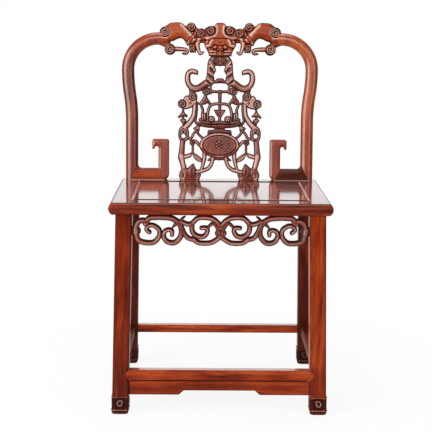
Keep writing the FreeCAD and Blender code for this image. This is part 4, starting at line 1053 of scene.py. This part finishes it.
def halfBoard(values):
    # an empty grid that starts at the middle line
    return Relief(0, values["half"], values["low"], values["high"], values["cell"], values["section"])


def crestRail():
    # head with two volutes, lower arm, small curls, and a beast mask under a bell-shaped cap
    board = halfBoard(crest)
    # stub towards the post's arm, and the head
    board.band([(156, 359.6), (147, 359.8), (138, 360.5)], (31, 28), 0.5, 13.6, 0.0)
    board.leaf([(134, 394), (125.5, 398.6), (114, 399.8), (102, 399.3), (94, 395), (88, 388), (80, 380.5),
                (73, 373.6), (65.5, 364), (61, 356), (66, 348), (76, 346.5), (83.5, 342.5), (88.9, 351.8),
                (95, 359), (102, 361.4), (111.7, 358.5), (118, 355), (128, 354), (140, 360), (146, 372),
                (142, 386)], 4, 12.5, 14)
    board.line([(92, 391), (84, 383), (74, 372.5), (67, 361)], 2.2, -1.8)
    # painted highlight along the head's upper slope
    board.paintSheen([(98, 393), (88, 382), (76, 369)], 5.0, 1.0)
    board.line([(84, 352), (78, 362), (70, 369)], 1.2, 2.0)
    board.line([(77, 349), (72, 357), (65, 362)], 1.1, 2.0)
    # neck, the two volutes and the lower arm
    board.band([(150, 352), (138, 346), (130, 338)], (18, 16), 4, 9)
    board.curl((140.7, 375.6), 13.5, 1.8, 100, 1, 8, 13.5)
    board.curl((128.1, 332.4), 13.5, 1.8, 80, -1, 8, 13.5)
    board.band([(118, 333.4), (100, 333), (88, 331.5), (83.8, 327), (87, 322), (95, 322)],
               (10.5, 10.5, 10, 8.5, 6, 4.5), 3, 9.5)
    board.leaf([(80, 346), (62, 346), (62.5, 325), (77, 325)], 3, 7.5, 3, False)
    board.curl((71.6, 334.5), 7.8, 1.2, 120, 1, 6, 10.5)
    # ground between the head and the mask, with its curls
    board.leaf([(78, 352), (76, 366), (68, 376), (60, 380), (52, 384), (43, 382.5), (34.5, 388),
                (25, 391.4), (14, 390), (8, 376), (8, 352)], 2, 5.5, 4)
    board.line([(66, 357), (48, 361), (22, 363.5)], 2.6, -2.0)
    board.line([(64, 351.5), (46, 355), (30, 357)], 1.4, 2.0)
    board.band([(53.4, 357), (58.7, 346.3), (55.8, 332), (51.1, 322), (43.8, 325.5)],
               (11, 12, 10, 8, 4.5), 3, 10, 0.9)
    board.curl((74, 387.8), 11.7, 1.4, 60, 1, 6.5, 12.5)
    board.leaf([(76, 394), (91, 391.5), (90, 388.5), (76, 384)], 4, 9, 3, False)
    board.band([(66, 386), (60, 380), (64, 371), (72, 362)], (9, 8, 10), 4, 8.5)
    board.curl((49.5, 373.8), 11.6, 1.4, 90, -1, 6.5, 12.5)
    board.curl((25.4, 379.8), 11.3, 1.4, 90, 1, 5.5, 11)
    # painted shade under the row of curls
    board.paintSheen([(72, 384), (50, 376), (36, 380), (24, 380)], 10.0, -0.35)
    # bell-shaped cap
    board.leaf([(0, 399.8), (6, 399.6), (10.5, 397.5), (14, 393), (14.5, 389), (11.5, 384), (10.5, 378),
                (13, 370.5), (19, 366.5), (30, 362.5), (36, 359), (36, 354), (0, 354)], 6, 11, 4, False)
    board.line([(11, 392), (9.5, 386), (8.5, 380), (9.5, 373), (14, 367.5), (22, 364), (34, 361.5)],
               2.0, -2.6)
    # painted highlight along the cap's flaring edge
    board.paintSheen([(9.5, 391), (8, 382), (9.5, 373), (15, 367), (24, 363.5), (35, 361.5)], 3.0, 2.2)
    board.line([(0, 360.5), (14, 360.5), (24, 359.5)], 1.5, 3.0)
    maskFace(board)
    (points, faces), recess = board.shell()
    makePiece("crestRail", [(leaned(points), faces)], "crest_rail", crestWood, recess,
              crest["crease"])


def maskFace(board):
    # smooth brow, two ears at each side, round eyes, a nose ridge with nostrils, and cheeks over the mouth
    board.leaf([(0, 358), (22, 358), (30, 357), (38, 352), (40.5, 346), (38, 339), (33, 331), (29.5, 323),
                (28.5, 317), (20, 314), (0, 314)], 7, 14, 8, False)
    board.line([(20.5, 356), (23.5, 350), (27, 342.5), (35, 340)], 2.4, -2.6)
    # painted highlight along the brow ridge
    board.paintSheen([(20.5, 356), (23.5, 350), (27, 342.5), (36, 340)], 3.2, 1.2)
    board.line([(28, 355), (31, 349), (36, 345.5)], 1.5, 3.4)
    board.line([(33, 335), (26, 336.5), (20, 337)], 1.5, 2.6)
    # a faint painted highlight down the side of the face
    board.paintSheen([(26, 331), (27, 322)], 2.4, 0.4)
    # eye and nose
    board.knob((13, 337.5), 3.4, 3.0)
    board.line([(18.5, 340), (13, 344), (7, 341)], 1.5, 3.2)
    board.line([(18, 333.5), (12, 332), (7, 335)], 1.6, 3.4)
    board.line([(-4, 350), (4, 350)], 1.2, 1.8)
    board.line([(0, 342.5), (4.5, 341)], 1.2, 2.2)
    board.line([(0, 338), (0, 316)], 2.6, -1.8)
    board.knob((4.6, 332), 3.0, 2.6)
    board.line([(4, 327), (8.5, 329)], 1.1, 2.4)
    board.knob((20, 329.5), 4.6, 0.8)
    # cheek and mouth, darkened by painted shade and crossed by two folds of painted highlight
    board.line([(9, 328), (10, 318)], 1.2, 1.8)
    board.line([(15, 324.5), (21, 323), (28, 324)], 1.4, 3.0)
    board.line([(0, 316.4), (20, 316.4)], 1.2, 2.6)
    board.paintSheen([(-8, 327), (13, 327), (26, 325)], 11.0, -0.6)
    for height in (320.5, 326.5):
        board.paintSheen([(12, height), (20, height + 0.8), (29, height)], 1.7, 0.95)
        board.line([(10, height - 2.9), (19, height - 2.3), (30, height - 2.9)], 1.2, 2.0)


def upperSplat(board):
    # wings in feather layers that sweep out into large hooks, and the scrolls under them
    board.leaf([(0, 314), (20, 314), (24, 304), (15, 292), (6, 292), (0, 287)], 4, 7, 4, False)
    # wing and its feathers
    board.leaf([(14, 312), (20, 315), (27.7, 307.6), (31.6, 296.2), (32.4, 281), (34.5, 263), (38.5, 253),
                (46, 245), (40, 237), (28, 239), (20.5, 242), (15, 249), (14.9, 256), (15.4, 261),
                (17, 267), (14, 273.5), (10.5, 279.6), (13.6, 288.5), (12.3, 295)], 4, 8.5, 6)
    board.curl((11.2, 303), 7.6, 1.3, 90, 1, 5.5, 10.5)
    for start, end in (((27.5, 300), (19, 288)), ((25.5, 291), (12.5, 279)), ((29.5, 275), (17, 266)),
                       ((32, 258.5), (20, 248))):
        board.line([start, end], 2.4, -2.8)
        # painted highlight along each feather's ridge
        board.paintSheen([start, end], 2.6, 1.2)
        board.line([(x - 0.8, z - 5.6) for x, z in (start, end)], 2.6, 3.6)
    # large hook with its barb, and the link under it
    board.band([(36, 246), (50.8, 236), (63.7, 233), (75.2, 238.6), (81.6, 249), (83.2, 260.6),
                (80.6, 271.6), (72.4, 277), (62, 275)], (18, 17.5, 16, 13.5, 13, 12.5, 11.5), 3, 10, 0.3)
    board.leaf([(63, 280), (60, 279), (56.5, 268), (62, 270)], 3, 7, 3, False)
    board.band([(72, 229), (69, 219)], (14, 14), 2, 5, smooth=False)
    # brace between the wings
    board.leaf([(0, 255), (16, 254), (24, 253), (24, 246), (12, 247), (0, 249)], 3, 6.5, 3, False)
    board.band([(-5, 254), (5, 254)], (10, 10), 3, 7, 0.0, False)
    # scroll under the wing, its cross bar and the middle stem
    board.curl((34.6, 226.4), 10.3, 1.6, 80, -1, 5.5, 10.5)
    board.band([(24, 240), (22.5, 230), (23.5, 221)], (4.5, 4.5), 3, 7, 0.8)
    board.band([(36, 226), (0, 225)], (6, 6), 2, 5, smooth=False)
    board.leaf([(0, 233), (4.5, 229), (3.2, 172), (0, 172)], 3, 5.5, 2.5, False)


def fungusBranch(board):
    # leaf under the scroll, the fungus head with two curled lobes on its stem, and the pendant
    board.leaf([(36, 221), (41, 208), (48, 195), (40, 192.5), (31, 196), (25, 187), (20, 191), (31, 208)],
               3, 7, 5)
    board.line([(35, 218), (36, 206), (41, 197)], 1.0, 2.0)
    # painted shade over the leaf
    board.paintSheen([(34, 214), (36, 203), (42, 196)], 8.0, -0.35)
    board.band([(38, 214), (41, 207), (46, 200), (47.6, 193), (46.7, 187), (43.4, 179), (44, 172),
                (45, 164)], (5, 6, 6, 6), 1.5, 5)
    board.band([(62, 196.5), (52, 194.6), (47, 191.5)], (5, 4.5), 1.5, 4.5)
    # fungus head
    # the head takes a painted sheen
    board.leaf([(93, 182), (84, 181.5), (75, 184), (68.5, 189), (60, 195), (58.5, 204), (61, 213),
                (80, 214), (88, 214), (93, 206), (98, 196)], 3.5, 8, 4, paintedSheen=0.6)
    board.knob((74.9, 195.7), 3.6, -2.4)
    board.knob((74.9, 195.7), 1.8, 2.4)
    board.curl((69.5, 212.6), 11.2, 1.3, 200, 1, 5.5, 11)
    board.curl((96.3, 194), 11, 1.3, 20, -1, 5.5, 11)
    # stems
    board.band([(64.4, 191), (65.2, 177), (67.2, 163.5), (73.6, 150.8), (80.8, 141.8), (90, 133)],
               (10.5, 10.5, 12, 14, 14), 2, 8, 0.8)
    board.band([(59, 193), (59, 179), (60.6, 164), (62.4, 151), (58, 143), (49, 139)], (5, 5.5, 6), 1.5, 5)
    # pendant on its cord
    board.band([(94, 186), (94, 150), (92, 132)], (4.5, 4.5), 1.5, 4.5, smooth=False)
    board.leaf([(94, 177), (88, 168), (82.5, 164), (84, 160), (89.5, 161.5), (94, 162.5), (99, 160.5),
                (105, 157), (107, 160.5), (100.5, 168)], 3, 7, 4, False)
    board.line([(94, 175), (94, 166)], 0.9, -1.4)
    board.leaf([(101.5, 152.5), (96, 156), (90, 155.5), (86, 151.5), (89, 146), (93, 142), (97, 146)],
               3, 7, 4)


def petals(board, middle, count, start, reach, radius, height):
    # round petals set evenly about a middle, the first at the start in degrees
    for number in range(count):
        angle = math.radians(start + 360 / count * number)
        place = (middle[0] + reach * math.cos(angle), middle[1] + reach * math.sin(angle))
        board.knob(place, radius, height)


def basket(board):
    # basket with its handle, fan and flowers over the oval medallion with a woven field
    board.band([(30, 150), (30.3, 172), (25, 188), (14, 194), (-4, 194.5)], (6.5, 6.5), 2.5, 7)
    board.leaf([(0, 179), (15, 179), (9, 168), (3.5, 160), (3.5, 146), (0, 146)], 3, 6.5, 3, False)
    for spread in (4.0, 9.0):
        board.line([(1, 163), (spread, 178)], 0.8, 1.5, False)
    board.leaf([(35.5, 171), (46, 171.5), (48, 161), (47, 150), (33.5, 150)], 3, 8, 4, False)
    board.line([(41, 169), (41, 158), (37, 152)], 1.1, 2.2)
    board.oval((49.5, 154), (3.6, 3.6), 4, 8, 3)
    # dish with a flower
    board.leaf([(0, 152.5), (19.5, 150), (30, 149.5), (44, 152), (50, 155), (54, 149), (56, 143),
                (50, 138.5), (42, 135.5), (30, 133.5), (13, 132.5), (0, 132.5)], 3.5, 8.5, 5, False)
    board.line([(0, 147), (24, 145), (40, 146.5), (50, 150)], 1.1, -2.0)
    board.line([(0, 142.5), (24, 141), (42, 143)], 1.2, 2.4)
    flower = (20.5, 155)
    board.oval(flower, (8.2, 8.2), 5, 9, 5, True)
    petals(board, flower, 5, 90, 4.8, 3.0, 2.6)
    board.knob(flower, 2.4, 3.0)
    # plinth
    board.leaf([(0, 137), (13, 137), (13, 128), (29.5, 126.5), (31, 116.5), (22, 111), (0, 111)],
               3, 7.5, 3, False)
    board.line([(0, 130.5), (12, 130)], 1.2, 2.4, False)
    board.line([(0, 120.5), (29, 118)], 1.2, 2.4, False)
    # medallion
    middle, flower = (0, 88.3), (0, 89)
    board.oval(middle, (50.6, 32.3), 5, 10.5, 3.5)
    board.weave(middle, (41, 24), 8.2, 1.7, 11.0)
    turn = np.radians(np.linspace(-90, 90, 40))
    groove, rim = [[(half * math.cos(a), middle[1] + rise * math.sin(a)) for a in turn]
                   for half, rise in ((43.2, 25.6), (47, 28.9))]
    board.line(groove, 1.2, 3.4, False)
    # painted highlight along the upper half of the rim
    board.paintSheen(rim[19::4], 2.2, 1.0)
    board.knob(flower, 11.5, -3.4)
    petals(board, flower, 6, 30, 6.6, 3.6, 3.4)
    board.knob(flower, 3.4, 5.0)
    # painted shade round the middle flower, on the lower half of the rim and across the dish and the plinth
    board.paintSheen([(-6, 89), (6, 89)], 8.0, -0.45)
    board.paintSheen(rim[:18:4], 4.0, -0.5)
    board.paintSheen([(-8, 142), (24, 141), (46, 145)], 7.0, -0.45)
    board.paintSheen([(-8, 122), (14, 122), (27, 121)], 7.0, -0.45)
    # foot of the medallion
    board.leaf([(0, 60), (20, 60), (25, 52), (16, 48), (8, 51), (0, 46)], 3, 6.5, 3, False)
    board.band([(18, 55), (28.5, 49.5)], (9, 3.5), 2, 6, smooth=False)


def lowerVines(board):
    # ring and leg at the outside, vines beside the medallion, and the lotus foot
    board.leaf([(92.5, 137.5), (83, 132), (79.3, 122), (79.1, 114), (82.5, 102), (92.3, 96.5),
                (102.4, 101.5), (105.6, 117), (102.5, 131.5)], 3, 9, 5)
    board.line([(92.5, 131), (85.5, 125), (85, 110), (92.5, 101.5), (99.5, 108), (99.8, 124), (92.5, 131)],
               1.5, 2.2)
    board.hole([(92.8, 118), (97.8, 115), (98.4, 109), (92.8, 104.8), (87.2, 109), (87.6, 115)])
    board.knob((93, 123), 3.4, -3.5)
    board.band([(94.6, 99), (96.2, 81.4), (97.5, 66), (98, 56), (95, 43), (91.5, 30), (88, 16)],
               (12.5, 12.5, 14, 16, 13, 13, 13), 2.5, 8.5)
    # vines
    board.band([(79, 104.5), (71.8, 107.3), (68, 115), (61.7, 124), (54, 137)], (6, 5.5), 2, 6, 0.45)
    board.leaf([(67.4, 130.4), (61, 136), (53, 139), (52, 125), (58, 127)], 2.5, 7, 4)
    board.band([(60, 128), (55, 118), (47, 109.5), (38, 104)], (5.5, 5.5), 2, 6, 0.45)
    board.band([(79, 106), (73, 101), (69, 96)], (5.5, 5), 2, 6, 0.45)
    board.band([(66, 99), (59, 96.5), (51.5, 88), (44, 82)], (7, 7), 2, 6.5, 0.45)
    board.curl((69.7, 94.5), 6.8, 1.1, 90, 1, 4.5, 9)
    board.band([(68.6, 91), (68.6, 68)], (5, 5), 2, 6, smooth=False)
    board.leaf([(68, 71), (78, 66.5), (88, 63.5), (95, 62), (95, 53), (87, 53.5), (79, 55), (72.9, 59)],
               2.5, 7, 4, False, 0.5)
    board.leaf([(69, 70), (57.4, 63), (48.4, 56.5), (43.5, 50), (45.7, 44.5), (54.8, 47), (62.5, 52),
                (67.5, 60)], 2.5, 7.5, 4, False, 0.5)
    board.line([(66, 65), (57, 56), (48, 50)], 1.0, 2.0)
    board.band([(38.7, 68), (38.4, 56), (40.3, 46), (43, 35), (46.5, 22)], (9.5, 10, 9, 7.5, 7), 2, 8.5, 0.5)
    board.band([(16.5, 58), (18.4, 46), (24, 33.5), (34, 25.5), (47, 21.5), (58, 18.5)],
               (8.5, 9, 10.5), 2.5, 9, 0.5)
    # lotus foot
    board.leaf([(94, 31), (101, 19.6), (103.5, 12), (102, 4), (98, -2), (55, -2), (50, 4), (47.3, 12),
                (51, 19.5), (57.2, 22), (62, 30.2), (65, 37.4), (67.6, 40.5), (74, 35), (80.4, 29),
                (86, 28)], 3, 7, 4, False)
    board.leaf([(67.6, 39.5), (61, 27), (61, 14), (69, 4), (79, 11), (81, 23), (75, 33)], 5, 10, 6)
    board.line([(68, 38), (70, 24), (69, 8)], 1.2, 2.6)
    board.leaf([(84, 27), (80, 16), (86, 5), (94, 6), (92, 20)], 5, 9.5, 5)
    board.curl((55.4, 10.4), 7.4, 1.1, 90, 1, 6, 10)
    board.curl((96.4, 9.5), 6.2, 1.1, 90, -1, 6, 9.5)
    # painted shade on the middle lotus leaf, painted highlights at the two lower corners and down the leg
    board.paintSheen([(67.5, 34), (70, 22), (69, 8)], 9.0, -0.5)
    board.paintSheen([(51, 9), (56, 4), (61, 8)], 3.0, 1.2)
    board.paintSheen([(98, 13), (98, 5), (92, 2)], 3.0, 1.2)
    board.paintSheen([(97, 60), (94, 48), (91, 36)], 4.5, 0.8)


def backSplat():
    # the openwork board, its groups laid in the order in which they overlap
    board = halfBoard(splat)
    upperSplat(board)
    fungusBranch(board)
    lowerVines(board)
    basket(board)
    (points, faces), recess = board.shell()
    makePiece("backSplat", [(leaned(points), faces)], "back_splat", carvedWood, recess,
              splat["crease"])


def scrollApron():
    # running scrolls under the front rail: end ring, big scroll, barb, wave, inner spiral and links
    board = halfBoard(apron)
    board.band([(162, 31), (168.7, 37), (165, 45), (154, 47), (140.4, 37), (140.4, 21), (152, 8),
                (170, 6.6), (186, 11.6), (191.4, 23), (192.6, 41.6), (187, 54), (176.7, 58), (167.6, 53)],
               (9, 11.5, 12), 2.5, 9)
    board.band([(171, 51), (163, 63), (147, 65.4), (124.5, 65), (108.6, 62), (95, 52), (89.3, 37),
                (91.5, 21), (101.7, 9), (113, 6.6), (124.5, 11.6), (130, 23), (126.7, 33.5), (117.6, 37),
                (110.8, 33.5), (110.8, 25.4)], (12, 12, 11.5, 9), 2.5, 9)
    board.band([(95, 53), (102, 50), (109, 43)], (10, 4), 2.5, 7)
    board.leaf([(80, 68), (87, 66.5), (93, 60), (98, 52), (90, 46), (82, 52), (86, 60)], 2.5, 7.5, 4)
    board.band([(92, 56), (85.8, 54), (74.5, 50), (65.4, 52), (56.3, 61), (47, 65.4), (31, 65.4),
                (17.7, 62), (6.4, 53), (0, 41.6)], (10, 11, 11), 2.5, 9)
    board.band([(65.4, 50), (65.4, 37), (59.7, 26.6), (47, 21), (36, 24), (30, 34.7), (33.6, 41.6),
                (43.8, 41.6)], (11, 11, 9), 2.5, 9)
    board.band([(90, 46), (83.6, 30), (74.5, 18.5), (60, 14)], (10, 10.5), 2.5, 8.5)
    # links to the middle
    board.band([(62, 15.5), (51.8, 8), (38, 6), (22, 7.6), (8.6, 15), (0, 22)], (10.5, 10.5), 2.5, 9)
    board.band([(28, 44), (20, 51), (13, 49.7), (5, 38)], (6, 9), 2.5, 7.5)
    board.leaf([(0, 44), (9, 37), (13, 29), (8, 21), (0, 17)], 2.5, 8, 5)
    board.line([(0, 38), (7, 31), (5, 24)], 1.4, 2.4)
    # joints with the leg and the rail
    board.band([(192, 34), (203, 34)], (20, 20), 1.5, 3, 0.0, False)
    board.band([(155, 70), (120, 71), (120, 71.4)], (5, 5), 2, 4, smooth=False)
    (points, faces), recess = board.shell()
    front = nodeBox("front_scroll_apron")
    middle = np.array([0, (front[0][1] + front[1][1]) / 2, front[0][2] - apron["low"]])
    makePiece("frontScrollApron", [(points + middle, faces)], "front_scroll_apron", apronWood,
              recess, apron["crease"])


crestRail()
backSplat()
scrollApron()
print("carvings made")


# pegs and the batten keep the frame's own shapes

for node in ("seat_batten", "apron_pins", "footrest_pins", "crest_pegs"):
    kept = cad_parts[node].data
    kept.materials.clear()
    kept.materials.append(hookWood)


# studio

studio = {
    "lens": 93.67, "sensor": 36.0, "place": (-0.03695, -2.70808, 0.91265), "pitch": 0.1749, "yaw": -0.0103,
    "roll": 0.0087, "floorHalf": 1.1, "floorFade": (0.2, 0.9), "floorGlow": 0.88, "floorTone": 0.92,
    "brightFrom": (0.55, 0.92), "higherFrom": (0.20, 0.30), "higherGain": 1.2, "dim": 0.08,
}

lights = {
    "frontLight": {"place": (0.1, -3.2, 2.0), "aim": 0.55, "size": (1.7, 1.0), "power": 36,
                   "colour": (1.0, 0.96, 0.93)},
    "leftLight": {"place": (-2.3, -1.7, 1.3), "aim": 0.65, "size": (2.3, 2.2), "power": 98,
                  "colour": (1.0, 0.95, 0.92)},
    "rightLight": {"place": (2.3, -2.2, 1.4), "aim": 0.6, "size": (1.3, 2.0), "power": 24,
                   "colour": (1.0, 0.95, 0.92)},
    "topLight": {"place": (0.0, 0.2, 3.4), "aim": 0.4, "size": (2.0, 2.0), "power": 40,
                 "colour": (1.0, 1.0, 1.0)},
}


def makeFloor():
    # a pale square that turns from a matt surface into a white glow with the distance from its middle
    half, glowing = studio["floorHalf"], studio["floorGlow"]
    corners = [(-half, -half, 0), (half, -half, 0), (half, half, 0), (-half, half, 0)]
    mesh = bpy.data.meshes.new("floor")
    mesh.from_pydata(corners, [], [(0, 1, 2, 3)])
    material = bpy.data.materials.new("paleFloor")
    finish = Finish(material)
    place = finish.node("ShaderNodeTexCoord").outputs["Object"]
    away = finish.node("ShaderNodeVectorMath", {"operation": "LENGTH"}, {0: place})
    fade = finish.step(Amount(finish, away.outputs["Value"]), *studio["floorFade"])
    far = fade * (1 - glowing) + glowing
    near = finish.node("ShaderNodeBsdfDiffuse", None, {"Color": (studio["floorTone"],) * 3 + (1,)})
    glow = finish.node("ShaderNodeEmission", None, {"Color": (1, 1, 1, 1), "Strength": 1.0})
    mixed = finish.node("ShaderNodeMixShader", None, {0: far, 1: near.outputs[0], 2: glow.outputs[0]})
    finish.node("ShaderNodeOutputMaterial", None, {"Surface": mixed.outputs[0]})
    mesh.materials.append(material)
    floor = bpy.data.objects.new("floor", mesh)
    bpy.context.scene.collection.objects.link(floor)


def softLight(name, values):
    # a rectangle of light, turned to a point over the floor's middle and unseen by the camera
    lamp = bpy.data.lights.new(name, "AREA")
    lamp.shape = "RECTANGLE"
    lamp.size, lamp.size_y = values["size"]
    lamp.energy = values["power"]
    lamp.color = values["colour"]
    light = bpy.data.objects.new(name, lamp)
    light.visible_camera = False
    light.location = values["place"]
    way = Vector((0, 0, values["aim"])) - Vector(values["place"])
    light.rotation_euler = way.to_track_quat("-Z", "Y").to_euler()
    bpy.context.scene.collection.objects.link(light)


def makeWorld():
    # bright behind the chair and dimmer behind the camera; the camera itself sees plain white
    world = bpy.data.worlds.new("studioWorld")
    bpy.context.scene.world = world
    finish = Finish(world)
    way = finish.node("ShaderNodeTexCoord").outputs["Generated"]
    split = finish.node("ShaderNodeSeparateXYZ", None, {0: way})
    higher = finish.step(split.outputs[2], *studio["higherFrom"])
    behind = finish.step(split.outputs[1], *studio["brightFrom"]) * (1 + studio["higherGain"] * higher)
    seen = finish.amount("ShaderNodeLightPath", None, None, "Is Camera Ray")
    strength = (behind + studio["dim"]) * (1 - seen) + seen
    shade = finish.node("ShaderNodeBackground", None, {"Color": (1, 1, 1, 1), "Strength": strength})
    finish.node("ShaderNodeOutputWorld", None, {"Surface": shade.outputs[0]})


def makeCamera():
    # the photo's view, as fitted to the photo
    view = bpy.data.cameras.new("camera")
    view.lens = studio["lens"]
    view.sensor_width = studio["sensor"]
    camera = bpy.data.objects.new("camera", view)
    turn = (Matrix.Rotation(studio["yaw"], 3, "Z") @ Matrix.Rotation(math.pi / 2 - studio["pitch"], 3, "X")
            @ Matrix.Rotation(studio["roll"], 3, "Z"))
    camera.rotation_euler = turn.to_euler()
    camera.location = studio["place"]
    bpy.context.scene.collection.objects.link(camera)
    bpy.context.scene.camera = camera


makeFloor()
makeWorld()
for name, values in lights.items():
    softLight(name, values)
makeCamera()
bpy.context.scene.view_settings.view_transform = "Standard"
print("studio made")
